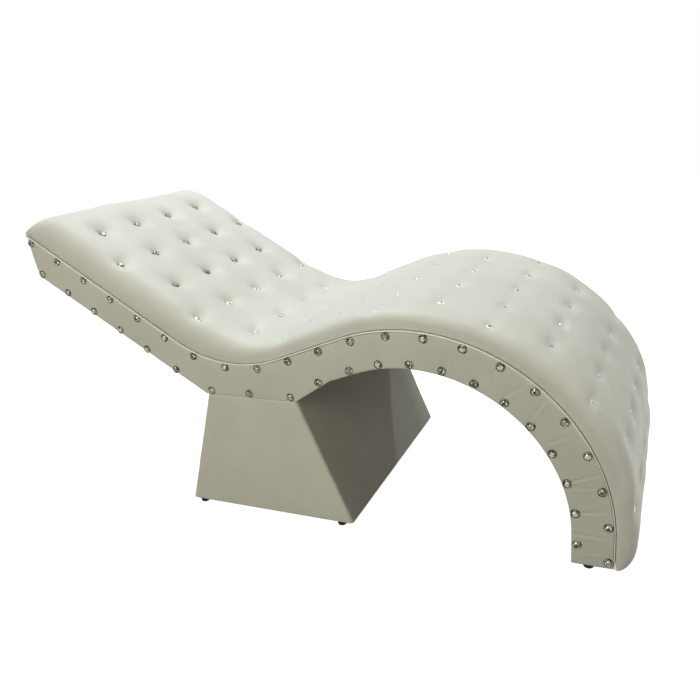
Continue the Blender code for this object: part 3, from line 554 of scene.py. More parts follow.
# A tuft draws the pad down by a broad hollow, with a close seat and gathers in it
BROAD_REACH = 0.078
BROAD_SHARE = 0.24
BROAD_POWER = 1.3
HEAD_SEAT_REACH, WAIST_SEAT_REACH = 0.0145, 0.0095
SEAT_FLAT = 0.009
SEAT_FADE_POWER = 4
GATHERS = 7
GATHER_HEIGHT = 0.0011
GATHER_RADIUS, GATHER_WIDTH = 0.020, 0.014
WAIST_TUFT_STRETCH = 1.6
OUTER_TUFT_SHARE = 0.92
EDGE_HOLD = 1.5
DIMPLE_GROWTH = (1.40, 1.45)
OUTER_DIMPLE_GROWTH = (1.15, 1.1)
BUTTON_RADIUS = 0.0100
BUTTON_SINKS = (-0.0050, 0.0006, 0.0026)
# Noise by height, shortest and longest wave and count; the last kind runs from side to side
PAD_WAVES = ((0.0011, 0.07, 0.22, 26), (0.00025, 0.018, 0.04, 26))
CROSS_WAVE = (0.00032, 0.022, 0.05, 26)
CROSS_STRETCH = (1, 0.22, 1)
RIM_BLEND = 0.02


def tuft_pull(away, depth, rng):
    """How far one tuft draws the surface down, at vectors away from it."""
    near = np.linalg.norm(away, axis=-1)
    reach = near / BROAD_REACH
    broad = (0.5 + 0.5 * np.cos(pi * reach)) ** BROAD_POWER
    deep = (depth - WAIST_TUFT_DEPTH) / (HEAD_TUFT_DEPTH - WAIST_TUFT_DEPTH)
    deep = min(max(deep, 0), 1)
    slope = WAIST_SEAT_REACH + (HEAD_SEAT_REACH - WAIST_SEAT_REACH) * deep
    stretch = 1 + WAIST_TUFT_STRETCH * (1 - deep)
    close = np.linalg.norm(away / (1, stretch, 1), axis=-1)
    seat = np.exp(-np.maximum(close - SEAT_FLAT, 0) / slope) * (1 - reach ** SEAT_FADE_POWER)
    turn = np.arctan2(away[..., 1], away[..., 0] + away[..., 2])
    gather = np.cos(GATHERS * turn + rng.uniform(0, 2 * pi)) * depth / HEAD_TUFT_DEPTH
    gather = gather * np.exp(-((near - GATHER_RADIUS) / GATHER_WIDTH) ** 2)
    return depth * (BROAD_SHARE * broad + (1 - BROAD_SHARE) * seat) + GATHER_HEIGHT * gather


def tuft_drop(points, centres, depths, rng):
    """How far the surface is drawn down at each point by all the tufts."""
    drop = np.zeros(points.shape[:-1])
    for centre, depth in zip(centres, depths):
        away = points - centre
        if abs(centre[1]) > HALF_WIDTH - PAD_EDGE:
            beyond = away[..., 1] * centre[1] > 0
            away[..., 1] = np.where(beyond, away[..., 1] * EDGE_HOLD, away[..., 1])
        inside = np.linalg.norm(away, axis=-1) < BROAD_REACH
        if inside.any():
            drop[inside] += tuft_pull(away[inside], depth, rng)
    return drop


def pad_distances():
    """Seam distances of the pad's rows, closer together where its two ends are rounded."""
    count = int((SEAM_LENGTH - HEAD_ROUND - FOOT_ROUND) / PAD_GRID)
    return np.concatenate([
        end_spacing(HEAD_ROUND, HEAD_ROWS)[:-1],
        np.linspace(HEAD_ROUND, SEAM_LENGTH - FOOT_ROUND, count),
        SEAM_LENGTH - end_spacing(FOOT_ROUND, FOOT_ROWS)[-2::-1],
    ])


def tuft_seats():
    """Centre on the untufted pad, depth and upward direction of every tuft, and its sink."""
    distance, across = tufts().T
    x, z, nx, nz = seam(distance)
    full = pad_height(distance)
    flat = HALF_WIDTH - PAD_EDGE
    past = np.clip(np.abs(across) - flat, 0, None) / (PAD_EDGE + pad_bulge(distance))
    wall = RIM_HEIGHT + (full - RIM_HEIGHT) * PAD_WALL_SHARE
    height = wall + (full - wall) * np.sqrt(1 - past ** 2)
    centres = np.stack([x + nx * height, across, z + nz * height], axis=-1)
    outer = np.abs(across) > flat
    depths = tuft_depth(distance) * np.where(outer, OUTER_TUFT_SHARE, 1.0)
    depths *= np.where(outer, along_pad(distance, 1.0, *OUTER_DIMPLE_GROWTH),
                       along_pad(distance, 1.0, *DIMPLE_GROWTH))
    up = np.stack([nx, np.zeros_like(nx), nz], axis=-1)
    return centres, depths, up, along_pad(distance, *BUTTON_SINKS)


def sag(distance, y):
    """How far the far half of the head end hangs."""
    near_end = 1 - ease(distance, 0, SAG_LENGTH)[:, None]
    return SAG_DEPTH * near_end * ease(y, *SAG_SPAN)


def build_pad():
    """The tufted top, and the place and normal of every button seat."""
    distance = pad_distances()
    y, h = base_section(distance)
    x, z = off_seam(distance[:, None], h)
    surface = np.stack([x, y, z], axis=-1)
    centres, depths, up, sinks = tuft_seats()
    drop = tuft_drop(surface, centres, depths, RNG)
    for wave in PAD_WAVES:
        drop += ripple(surface, wave, RNG)
    drop += ripple(surface * CROSS_STRETCH, CROSS_WAVE, RNG) + sag(distance, y)
    free = np.clip((h - RIM_HEIGHT) / RIM_BLEND, 0, 1)
    surface = surface - grid_normals(surface) * (drop * free)[..., None]
    under = HALF_WIDTH - PAD_EDGE / 2
    below = lines_at(*off_seam(distance, GAP), (under, -under))
    pad = loft("pad_cover", np.concatenate([surface] + below, axis=1), PAD_LEATHER,
               ["tufted_pad"])
    return centres - up * (depths + sinks)[:, None], up


# Crystals in their chrome cups
CUP_SIDES = 24
FACET_SIDES = 10
HEAD_FLATNESS, WAIST_FLATNESS = 0.9, 0.55
ASLANT = (0.31, 0.17, 0.94)
STEEP = 0.9
# Outlines as shares of the radius, out and up, and for the crystal its turn in facets
CUP_SHARES = ((1.00, -0.10), (1.00, 0.20), (0.96, 0.30), (0.86, 0.36), (0.79, 0.30), (0.76, 0.16))
CROWN_SHARES = ((0.78, 0.24, 0.0), (0.66, 0.46, 0.5), (0.42, 0.62, 0.0))


def ring(sides, share, rise, turn=0.0):
    """Points round the z axis at one radius and height."""
    angle = 2 * pi * (np.arange(sides) + turn) / sides
    return np.stack([share * np.cos(angle), share * np.sin(angle), np.full(sides, rise)], axis=-1)


def crystal_mesh(radius):
    """One faceted crystal with its axis along z, as points and faces."""
    verts = np.concatenate([ring(FACET_SIDES, *shares) for shares in CROWN_SHARES]) * radius
    faces = [tuple(reversed(range(FACET_SIDES)))]
    n = FACET_SIDES
    for i in range(n):
        j, h = (i + 1) % n, (i - 1) % n
        faces.append((i, j, n + i))
        faces.append((j, n + j, n + i))
        faces.append((2 * n + i, n + h, n + i))
        faces.append((2 * n + i, n + i, 2 * n + (i + 1) % n))
    faces.append(tuple(range(2 * n, 3 * n)))
    return verts, faces


def cup_mesh(radius):
    """The turned metal cup round a crystal, as points and faces."""
    verts = np.concatenate([ring(CUP_SIDES, *shares) for shares in CUP_SHARES]) * radius
    return verts, loop_faces(len(CUP_SHARES), CUP_SIDES)


def placed_copies(name, shape, places, axes, mat, smooth):
    """One piece of many turned copies of a small shape, each with its own spin."""
    verts, faces = shape
    every_vert, every_face = [], []
    for number, (place, axis) in enumerate(zip(places, axes)):
        axis = unit(np.asarray(axis, float))
        across = unit(np.cross(axis, ASLANT if abs(axis[2]) < STEEP else (1, 0, 0)))
        beside = np.cross(axis, across)
        spin = RNG.uniform(0, 2 * pi)
        first = across * cos(spin) + beside * sin(spin)
        second = np.cross(axis, first)
        every_vert.append(place + verts @ np.stack([first, second, axis]))
        every_face += [tuple(index + number * len(verts) for index in face) for face in faces]
    return make_piece(name, np.concatenate(every_vert), every_face, mat, smooth=smooth)


# The painted reflection tones that facets take, from dark crescent to bright glint, and the share of
# the facets that take each
FACET_REFLECTION_TONES = (0.03, 0.25, 0.50, 0.72, 0.84, 0.97)
STUD_TONE_SHARES = (0.36, 0.22, 0.28, 0.08, 0.02, 0.04)
# Head crystals take more dark and bright facets, waist crystals mostly mid ones that fade into the
# lit pad: painted reflections by where each sits
HEAD_TONE_SHARES = (0.30, 0.20, 0.22, 0.14, 0.06, 0.08)
WAIST_TONE_SHARES = (0.03, 0.12, 0.52, 0.26, 0.05, 0.02)
TABLE_TONES, WAIST_TABLE_TONES = FACET_REFLECTION_TONES[:3], FACET_REFLECTION_TONES[1:4]
FACETS_EACH = 4 * FACET_SIDES + 2


def paint_facet_reflections(piece, shares, table_tones, rng):
    """Each facet's painted reflection tone. A crystal's last facet is its flat table."""
    tones = piece.data.attributes.new("facet", "FLOAT", "FACE")
    values = rng.choice(FACET_REFLECTION_TONES, size=len(piece.data.polygons), p=shares)
    values[FACETS_EACH - 1::FACETS_EACH] = rng.choice(table_tones, size=len(values) // FACETS_EACH)
    tones.data.foreach_set("value", values)


def set_crystals(stem, radius, places, axes, cup_metal, tone_shares, flatness=1.0,
                 table_tones=TABLE_TONES):
    """Crystals in their cups: one piece of cups and one of crystals."""
    squash = (1, 1, flatness)
    (cup, cup_faces), (gem, gem_faces) = cup_mesh(radius), crystal_mesh(radius)
    placed_copies(f"{stem}_cups", (cup * squash, cup_faces), places, axes, cup_metal,
                  True)
    gems = placed_copies(f"{stem}_crystals", (gem * squash, gem_faces), places, axes, CRYSTAL,
                         False)
    paint_facet_reflections(gems, tone_shares, table_tones, RNG)


# Sides
SLOPE = np.array([cos(HEAD_ANGLE), -sin(HEAD_ANGLE)])
CUT = np.array([sin(HEAD_CUT_LEAN), -cos(HEAD_CUT_LEAN)])
CUT_SINE = abs(SLOPE[0] * CUT[1] - SLOPE[1] * CUT[0])
CUT_DRIFT = float(CUT @ SLOPE) / CUT_SINE
FAN_REACH = 0.33
SIDE_GRID = 0.004
CLOSEST_ROWS = 0.0008
SIDE_POINTS, SIDE_ROLL_POINTS = 18, 5
EDGE_ROLL, EDGE_LIFT = 0.0035, 0.0008
HIT_SLACK = 0.02
# The seam distances between which a side's lower corners lie
CORNER_SPAN = (0.2, 1.2)


def head_point(depth, inset):
    """Point (x, z) of the head end at a depth and at an inset along the slope."""
    return np.array(seam(0.0)[:2]) + (CUT * depth + SLOPE * inset) / CUT_SINE


def meet(point, direction, other, other_direction):
    """Where two lines in the XZ plane cross."""
    det = direction[0] * other_direction[1] - direction[1] * other_direction[0]
    dx, dz = other[0] - point[0], other[1] - point[1]
    along = (dx * other_direction[1] - dz * other_direction[0]) / det
    return np.asarray(point) + np.asarray(direction) * along


RISE_START = SEAM_LENGTH - FOOT_RISE - CREST_LENGTH - RISE_RUN
VALLEY_LOW = RISE_START - VALLEY_RADIUS * RISE_ANGLE
SEAT_LEVEL = float(seam(VALLEY_LOW)[1]) - SIDE_HEIGHT
SEAT_HEAD = meet(head_point(SIDE_HEIGHT, 0), SLOPE, (0, SEAT_LEVEL), (1, 0))
SEAT_HEAD[0] += SEAT_HEAD_TRIM
BASE_MIDDLE = SEAT_HEAD[0] + BASE_SETBACK + BASE_TOP_LENGTH / 2
SEAT_FOOT = np.array([BASE_MIDDLE + BASE_TOP_LENGTH / 2, SEAT_LEVEL])
RISE_LINE = np.array(off_seam(RISE_START, -SIDE_HEIGHT))
SHOULDER = np.array([cos(SHOULDER_ANGLE), sin(SHOULDER_ANGLE)])
RISE = np.array([cos(RISE_ANGLE), sin(RISE_ANGLE)])
SHOULDER_TOP = meet(SEAT_FOOT, SHOULDER, RISE_LINE, RISE)
SHOULDER_TOP_DISTANCE = RISE_START + float(np.linalg.norm(SHOULDER_TOP - RISE_LINE))


def arch_edge(spacing):
    """Lower line of the arch, from the seat's foot corner to the foot."""
    count = int((SEAM_LENGTH - SHOULDER_TOP_DISTANCE) / spacing)
    marks = np.linspace(SHOULDER_TOP_DISTANCE, SEAM_LENGTH, count)
    later = np.stack(off_seam(marks, -SIDE_HEIGHT), axis=-1)
    steps = np.linspace(0, 1, int(np.linalg.norm(SHOULDER_TOP - SEAT_FOOT) / spacing) + 2)[:-1]
    start = SEAT_FOOT + (SHOULDER_TOP - SEAT_FOOT) * steps[:, None]
    return np.concatenate([start, later])


def side_direction(distance):
    """Direction from the seam across a side: fanned from the head's cut to square."""
    _, _, nx, nz = seam(distance)
    drift = CUT_DRIFT * np.clip(1 - distance / FAN_REACH, 0, 1)
    return np.stack([-nx + nz * drift, -nz - nx * drift], axis=-1)


def side_depths(distance):
    """Depth along each direction at which a side ends: on the seat, the slope or the arch."""
    x, z, _, _ = seam(distance)
    start = np.stack([x, z], axis=-1)
    ray = side_direction(distance)
    line = np.concatenate([[head_point(SIDE_HEIGHT, 0), SEAT_HEAD], arch_edge(SIDE_GRID)])
    a, b = line[:-1], line[1:]
    edge = b - a
    det = ray[:, None, 0] * edge[None, :, 1] - ray[:, None, 1] * edge[None, :, 0]
    away = a[None] - start[:, None]
    depth = (away[..., 0] * edge[None, :, 1] - away[..., 1] * edge[None, :, 0]) / det
    share = (away[..., 0] * ray[:, None, 1] - away[..., 1] * ray[:, None, 0]) / det
    hit = (share > -HIT_SLACK) & (share < 1 + HIT_SLACK) & (depth > SIDE_HEIGHT / 2)
    depth = np.where(hit, depth, np.inf).min(axis=1)
    return np.where(np.isfinite(depth), depth, SIDE_HEIGHT)


def corner_distances(corners):
    """Seam distances whose directions pass through the lower line's corners."""
    fine = np.linspace(*CORNER_SPAN, FINE_MARKS + 1)
    x, z, _, _ = seam(fine)
    ray = side_direction(fine)
    found = []
    for corner in corners:
        side = (corner[0] - x) * ray[:, 1] - (corner[1] - z) * ray[:, 0]
        place = np.nonzero(np.diff(np.sign(side)))[0]
        found += [float(fine[i]) for i in place]
    return found


SIDES = (("right", -1), ("left", 1))
SIDE_SEED = 50
SIDE_PUFF, SIDE_PUFF_POWER = 0.0010, 0.7
SIDE_WAVE = (0.00035, 0.05, 0.14, 20)
STUD_DIMPLE, STUD_DIMPLE_REACH = 0.0012, 0.013
STUD_SINK = 0.0004
CREASE_DEPTH, CREASE_REACH = 0.0020, 0.42
# The fold beside a crease, by its share of the depth and its place in half-widths
FOLD_SHARE, FOLD_PLACE = 0.7, 1.7
# Pull creases across a side: seam distance, slant, strength, half-width and middle of each
CREASES = (
    (0.872, 0.10, 0.25, 0.0050, 0.30),
    (1.180, -0.15, 0.30, 0.0050, 0.40),
    (1.338, 0.20, 0.35, 0.0045, 0.35),
    (1.470, -0.10, 0.40, 0.0045, 0.60),
    (1.602, 0.30, 0.60, 0.0040, 0.30),
    (1.660, -0.35, 0.55, 0.0050, 0.55),
    (1.742, 0.25, 0.50, 0.0045, 0.45),
    (1.838, -0.20, 0.60, 0.0040, 0.50),
    (1.962, 0.06, 1.00, 0.0034, 0.55),
    (1.990, -0.10, 0.50, 0.0045, 0.35),
    (2.066, 0.03, 0.90, 0.0034, 0.60),
    (2.140, -0.03, 0.80, 0.0034, 0.65),
    (2.186, 0.06, 0.40, 0.0040, 0.45),
)


def stud_distances(start, count):
    """Seam distances of a row of studs, whose spacing tightens towards the foot."""
    number = np.arange(count)
    return start + number * STUD_PITCH + number * (count - 1 - number) * STUD_PITCH_DRIFT


def line_depth(distance, point, direction):
    """Depth at which the square to the seam at a distance meets a line."""
    x, z, nx, nz = (float(value) for value in seam(distance))
    met = meet((x, z), (-nx, -nz), point, direction)
    return (x - met[0]) * nx + (z - met[1]) * nz


def bottom_stud_depth(distance):
    """Depth of a stud that keeps its margin from the side's lower edge."""
    depth = SIDE_HEIGHT - BOTTOM_STUD_MARGIN
    if not HEAD_RUN < distance < RISE_START + RISE_RUN:
        return depth
    seat = line_depth(distance, (0, SEAT_LEVEL + BOTTOM_STUD_MARGIN), (1, 0))
    if distance < VALLEY_LOW:
        corner = SEAT_HEAD + (0, BOTTOM_STUD_MARGIN / cos(HEAD_ANGLE))
        beside = line_depth(distance, corner, SLOPE)
    else:
        corner = SEAT_FOOT + (0, BOTTOM_STUD_MARGIN / cos(SHOULDER_ANGLE))
        beside = line_depth(distance, corner, SHOULDER)
    return max(depth, min(seat, beside))


def stud_marks():
    """Seam distances and depths of one side's studs, the top row and then the bottom row."""
    top = stud_distances(TOP_STUD_START, STUD_COUNT_TOP)
    bottom = stud_distances(BOTTOM_STUD_START, STUD_COUNT_BOTTOM)
    depths = [bottom_stud_depth(distance) for distance in bottom]
    return np.concatenate([top, bottom]), np.concatenate([np.full_like(top, TOP_STUD_DEPTH), depths])


def side_relief(points, distance, share, seed):
    """Height of the padded side over its flat face."""
    relief = SIDE_PUFF * np.sin(pi * np.clip(share, 0, 1)) ** SIDE_PUFF_POWER
    relief = relief + ripple(points, SIDE_WAVE, np.random.default_rng(seed))
    marks, depths = stud_marks()
    for x, z in zip(*off_seam(marks, -depths)):
        near = np.hypot(points[..., 0] - x, points[..., 2] - z)
        relief = relief - STUD_DIMPLE * np.exp(-(near / STUD_DIMPLE_REACH) ** 2)
    for place, slant, strength, width, middle in CREASES:
        off = (distance - place - slant * (share - 0.5) * SIDE_HEIGHT) / width
        depth = CREASE_DEPTH * strength * np.exp(-((share - middle) / CREASE_REACH) ** 2)
        fold = FOLD_SHARE * np.exp(-(off - FOLD_PLACE) ** 2)
        relief = relief + depth * (fold - np.exp(-off ** 2))
    return relief


def side_distances():
    """Seam distances of a side's rows, with those whose directions meet its lower corners."""
    corners = corner_distances((SEAT_HEAD, SEAT_FOOT, SHOULDER_TOP))
    even = np.linspace(0, SEAM_LENGTH, int(SEAM_LENGTH / SIDE_GRID))
    distance = np.unique(np.concatenate([even, corners]))
    distance = distance[np.concatenate([[True], np.diff(distance) > CLOSEST_ROWS])]
    distance[-1] = SEAM_LENGTH
    return distance


def side_shares():
    """Shares of the way down a side, closest together where its two edges roll over."""
    roll = EDGE_ROLL / SIDE_HEIGHT
    edge = end_spacing(roll, SIDE_ROLL_POINTS)[:-1]
    return np.concatenate([edge, np.linspace(roll, 1 - roll, SIDE_POINTS), 1 - edge[::-1]])


def build_side(name, side):
    distance, share = side_distances(), side_shares()
    start_x, start_z, _, _ = (value[:, None] for value in seam(distance))
    ray = side_direction(distance)[:, None]
    top = WELT_RADIUS + GAP
    reach = top + (side_depths(distance)[:, None] - top) * share
    x, z = start_x + ray[..., 0] * reach, start_z + ray[..., 1] * reach
    flat = np.stack([x, np.full_like(x, side * HALF_WIDTH), z], axis=-1)
    relief = side_relief(flat, distance[:, None], share, SIDE_SEED + side)
    stand = rounded(np.minimum(share, 1 - share) * SIDE_HEIGHT, EDGE_ROLL)
    face = HALF_WIDTH - EDGE_ROLL + EDGE_LIFT + (EDGE_ROLL - EDGE_LIFT + relief) * stand
    outer = np.stack([x, side * face, z], axis=-1)
    inner = np.stack([x, np.full_like(x, side * (HALF_WIDTH - COVER_T)), z], axis=-1)
    loft(f"{name}_side_leather", np.concatenate([outer, inner[:, [-1, 0]]], axis=1),
         SHADED_SIDE_LEATHER, [f"{name}_side_cover"])


def build_studs(name, side):
    marks, depths = stud_marks()
    x, z = off_seam(marks, -depths)
    places = np.stack([x, np.full_like(x, side * (HALF_WIDTH - STUD_SINK)), z], axis=-1)
    axes = np.tile([0.0, side, 0.0], (len(places), 1))
    set_crystals(f"{name}_stud", STUD_RADIUS, places, axes, CHROME, STUD_TONE_SHARES)


# Welts, linings and head end
WELT_ROWS, HEAD_WELT_ROWS = 420, 140
WELT_SIDES = 12
WELT_TURNS = 2 * pi * np.arange(WELT_SIDES) / WELT_SIDES
# Over most of the bed and near the floor: half height, half width and stand off the frame
WELT_PIPE_HEIGHTS = (0.0024, 0.0016)
WELT_PIPE_OUTS = (0.0040, 0.0026)
WELT_PIPE_STANDS = (0.0030, 0.0004)
WELT_FADE_SHARES = (0.82, 0.90)
PUCKER, STITCH_PITCH = 0.05, 0.009
BAND_POINTS = 70
BAND_WAVE = (0.0007, 0.05, 0.2, 24)
BAND_HOLD_POWER = 0.5
ARCH_SPACING = 0.012
HEAD_SLOPE_ROWS, HEAD_END_ROWS = 60, 26
HEAD_END_PUFF, HEAD_END_PUFF_POWER = 0.0012, 0.6
ARCH_SEED, HEAD_SLOPE_SEED, HEAD_END_SEED = 71, 72, 73


def pucker(distance):
    """How the stitches swell and pinch the piping along its length."""
    return 1 + PUCKER * np.sin(distance * 2 * pi / STITCH_PITCH)[:, None]


def build_side_welts():
    distance = np.linspace(0, SEAM_LENGTH, WELT_ROWS)
    fade = ease(distance / SEAM_LENGTH, *WELT_FADE_SHARES)[:, None]
    height, reach, stand = (full + (low - full) * fade for full, low in
                            (WELT_PIPE_HEIGHTS, WELT_PIPE_OUTS, WELT_PIPE_STANDS))
    up = height * pucker(distance) * np.sin(WELT_TURNS)
    out = reach * pucker(distance) * np.cos(WELT_TURNS)
    x, z = off_seam(distance[:, None], up)
    for name, side in SIDES:
        loops = np.stack([x, side * (HALF_WIDTH + stand) + out, z], axis=-1)
        loft(f"{name}_welt_piping", loops, HIGHLIT_WELT_LEATHER, [f"{name}_welt"])


def build_head_welt():
    x, z = head_point(0, COVER_T - WELT_RADIUS)
    y = np.linspace(-INNER_HALF, INNER_HALF, HEAD_WELT_ROWS)
    radius = WELT_RADIUS * pucker(y)
    loops = np.stack(np.broadcast_arrays(x + radius * np.cos(WELT_TURNS), y[:, None],
                                         z + radius * np.sin(WELT_TURNS)), axis=-1)
    loft("head_welt_piping", loops, HIGHLIT_WELT_LEATHER, ["head_welt"])


def build_band(name, lower, upper, mat, node, seed):
    """A thin stretched sheet between two lines in the XZ plane, from side to side."""
    y = np.linspace(-INNER_HALF, INNER_HALF, BAND_POINTS)
    low = np.stack(np.broadcast_arrays(lower[:, :1], y, lower[:, 1:]), axis=-1)
    out = unit(lower - upper)
    out = np.stack([out[:, 0], np.zeros(len(out)), out[:, 1]], axis=-1)[:, None]
    hold = np.cos(pi * y / (2 * INNER_HALF)) ** BAND_HOLD_POWER
    wave = ripple(low, BAND_WAVE, np.random.default_rng(seed)) * hold
    low = low + out * wave[..., None]
    high = lines_at(*upper.T, (INNER_HALF, -INNER_HALF))
    loft(name, np.concatenate([low] + high, axis=1), mat, [node])


def offset_line(line, distance):
    """The line moved square to itself, to its left for a positive distance."""
    along = unit(np.gradient(line, axis=0))
    return line + np.stack([-along[:, 1], along[:, 0]], axis=-1) * distance


def build_linings():
    start = head_point(SIDE_HEIGHT, COVER_T + GAP)
    slope = start + (SEAT_HEAD - start) * np.linspace(0, 1, HEAD_SLOPE_ROWS)[:, None]
    for name, line, seed in (("arch_lining", arch_edge(ARCH_SPACING), ARCH_SEED),
                             ("head_lining", slope, HEAD_SLOPE_SEED)):
        build_band(f"{name}_sheet", line, offset_line(line, LINING_T), LINING_LEATHER,
                   name, seed)


def build_head_end():
    steps = np.linspace(0, 1, HEAD_END_ROWS)[:, None]
    top, low = head_point(WELT_RADIUS + GAP, 0), head_point(SIDE_HEIGHT, 0)
    face = top + (low - top) * steps
    puff = HEAD_END_PUFF * np.sin(pi * steps) ** HEAD_END_PUFF_POWER
    build_band("head_end_leather", face - SLOPE * puff, face + SLOPE * COVER_T / CUT_SINE,
               SHADED_SIDE_LEATHER, "head_end_cover", HEAD_END_SEED)


# Base
BASE_TOP = SEAT_LEVEL - GAP
BASE_HEIGHT = BASE_TOP - FLOOR_CLEARANCE
BASE_LEAN = (BASE_FOOT_LENGTH - BASE_TOP_LENGTH) / 2 / BASE_HEIGHT
BASE_CORNER, CORNER_POINTS = 0.011, 6
BASE_FOOT_FLARE = 0.005
LONG_EDGE, LONG_EDGE_STEPS = 0.05, 64
BASE_ROLL, BASE_ROLL_HEIGHT = 0.0025, 0.004
BASE_ROWS, BASE_ROLL_ROWS = 56, 4
BASE_WAVE = (0.0009, 0.05, 0.16, 24)
BASE_STRETCH = (1, 1, 0.45)
BASE_HOLD_POWER = 0.5
BASE_SEED = 81


def base_ring(height, inset, corner):
    """Points round the base at one height: each side in turn, with rounded corners."""
    up = height - FLOOR_CLEARANCE
    half_x = BASE_FOOT_LENGTH / 2 - BASE_LEAN * up - inset * sqrt(1 + BASE_LEAN ** 2)
    half_y = HALF_WIDTH - inset
    flare = BASE_FOOT_FLARE * (1 - up / BASE_HEIGHT)
    points = []
    for sx, sy, start in ((1, -1, -pi / 2), (1, 1, 0.0), (-1, 1, pi / 2), (-1, -1, pi)):
        x = BASE_MIDDLE + max(sx, 0) * flare + sx * (half_x - corner)
        y = sy * (half_y - corner)
        points += [(x + corner * cos(turn), y + corner * sin(turn))
                   for turn in np.linspace(start, start + pi / 2, CORNER_POINTS)]
    whole = []
    for (x0, y0), (x1, y1) in zip(points, points[1:] + points[:1]):
        steps = LONG_EDGE_STEPS if abs(x1 - x0) + abs(y1 - y0) > LONG_EDGE else 1
        whole += [(x0 + (x1 - x0) * k / steps, y0 + (y1 - y0) * k / steps, height)
                  for k in range(steps)]
    return np.array(whole)


def base_heights():
    """Heights of the base's rows, closest together where its two edges roll over."""
    edge = end_spacing(BASE_ROLL_HEIGHT, BASE_ROLL_ROWS)
    low, high = FLOOR_CLEARANCE + BASE_ROLL_HEIGHT, BASE_TOP - BASE_ROLL_HEIGHT
    return np.concatenate([FLOOR_CLEARANCE + edge[:-1], np.linspace(low, high, BASE_ROWS),
                           BASE_TOP - edge[-2::-1]])


def build_base():
    heights = base_heights()
    rows = []
    for height in heights:
        stand = rounded(min(height - FLOOR_CLEARANCE, BASE_TOP - height), BASE_ROLL_HEIGHT)
        rows.append(base_ring(height, BASE_ROLL * (1 - stand), BASE_CORNER))
    outer = np.stack(rows, axis=1)
    around = np.gradient(outer, axis=0)
    out = unit(np.stack([around[..., 1], -around[..., 0], np.zeros(around.shape[:2])], axis=-1))
    rise = np.clip((heights - FLOOR_CLEARANCE) / BASE_HEIGHT, 0, 1)
    wave = ripple(outer * BASE_STRETCH, BASE_WAVE, np.random.default_rng(BASE_SEED))
    wave = wave * np.sin(pi * rise) ** BASE_HOLD_POWER
    outer = outer + out * wave[..., None]
    inner = [base_ring(height, COVER_T, BASE_CORNER - COVER_T / 2)[:, None]
             for height in (BASE_TOP, FLOOR_CLEARANCE)]
    loft("base_leather", np.concatenate([outer] + inner, axis=1), SHADED_BASE_LEATHER,
         [f"base_{end}_cover" for end in ("right", "left", "head", "foot")],
         closed=True)


# Radius and height up a glide: its moulded foot, then its nail
GLIDE_PROFILE = ((0.0105, 0.0), (0.0120, 0.0004), (0.0132, 0.0022), (0.0135, 0.0045),
                 (0.0135, 0.0085), (0.0128, 0.0108), (0.0108, 0.0117), (0.0016, 0.0117),
                 (0.0015, 0.0250), (0.0004, 0.0257))
GLIDE_SIDES = 36


def build_glides():
    outline = np.stack([ring(GLIDE_SIDES, radius, height) for radius, height in GLIDE_PROFILE])
    for name in [f"base_glide_{i}" for i in range(1, 5)] + ["foot_glide_1", "foot_glide_2"]:
        low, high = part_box(name)
        middle = ((low.x + high.x) / 2, (low.y + high.y) / 2, 0)
        loft(f"{name}_foot", outline + middle, PLASTIC, [name])


# Stage
CAMERA_LENS, FILM_WIDTH = 35.594, 36.0
CAMERA_TURN = (0.46026, 0.33776, -0.10614)
CAMERA_FROM_FOOT = (0.0963, -1.8858, 1.146)
FLOOR_SIZE = 14.0
WHITE = (1, 1, 1, 1)
AMBIENT = 0.10
AMBIENT_TINT = (1.0, 0.985, 0.94, 1)
# The floor that lights the bed, and the floor that is seen
LIT_FLOOR, SEEN_FLOOR = (0.12, 0.112, 0.090, 1), (0.8, 0.8, 0.8, 1)
FLOOR_GLOW = 0.94
# Lights: place, target, disk size, power and tint
LIGHTS = {
    "key": ((-0.9, 0.9, 3.1), (0.0, 0.0, 0.5), 2.2, 47.4, (0.93, 0.98, 1.0)),
    "front_fill": ((-0.25, -3.4, 2.1), (0.0, 0.0, 0.4), 2.2, 62.0, (1.0, 0.975, 0.845)),
    "foot_fill": ((3.5, 0.2, 2.5), (0.6, 0.0, 0.5), 1.6, 35.0, (1.0, 0.985, 0.86)),
    "window": ((1.5, 2.4, 3.2), (0.08, 0.1, 0.2), 0.06, 16.0, (0.97, 1.0, 0.98)),
}


def build_camera():
    yaw, pitch, roll = CAMERA_TURN
    ahead = Vector((-sin(yaw) * cos(pitch), cos(yaw) * cos(pitch), -sin(pitch)))
    level = ahead.cross(Vector((0, 0, 1))).normalized()
    upright = level.cross(ahead)
    right = cos(roll) * level + sin(roll) * upright
    up = -sin(roll) * level + cos(roll) * upright
    camera = bpy.data.objects.new("camera", bpy.data.cameras.new("camera"))
    camera.data.lens = CAMERA_LENS
    camera.data.sensor_width = FILM_WIDTH
    place = Vector(CAMERA_FROM_FOOT) + Vector((FOOT_X, 0, 0))
    turned = Matrix((right, up, -ahead)).transposed().to_4x4()
    camera.matrix_world = Matrix.Translation(place) @ turned
    bpy.context.collection.objects.link(camera)
    bpy.context.scene.camera = camera


def seen_rays(nodes, links):
    """1 for rays that see the stage: from the camera, or by gloss or through glass."""
    path = nodes.new("ShaderNodeLightPath")
    seen = path.outputs["Is Camera Ray"]
    for kind in ("Is Glossy Ray", "Is Transmission Ray"):
        most = add_node(nodes, "ShaderNodeMath", operation="MAXIMUM")
        links.new(seen, most.inputs[0])
        links.new(path.outputs[kind], most.inputs[1])
        seen = most.outputs[0]
    return seen


def mix_by_ray(nodes, links, lighting, seen, output):
    """Ends a node tree: one shader lights the bed, and the other is seen."""
    mix = nodes.new("ShaderNodeMixShader")
    links.new(seen_rays(nodes, links), mix.inputs[0])
    links.new(lighting.outputs[0], mix.inputs[1])
    links.new(seen.outputs[0], mix.inputs[2])
    links.new(mix.outputs[0], nodes.new(output).inputs["Surface"])


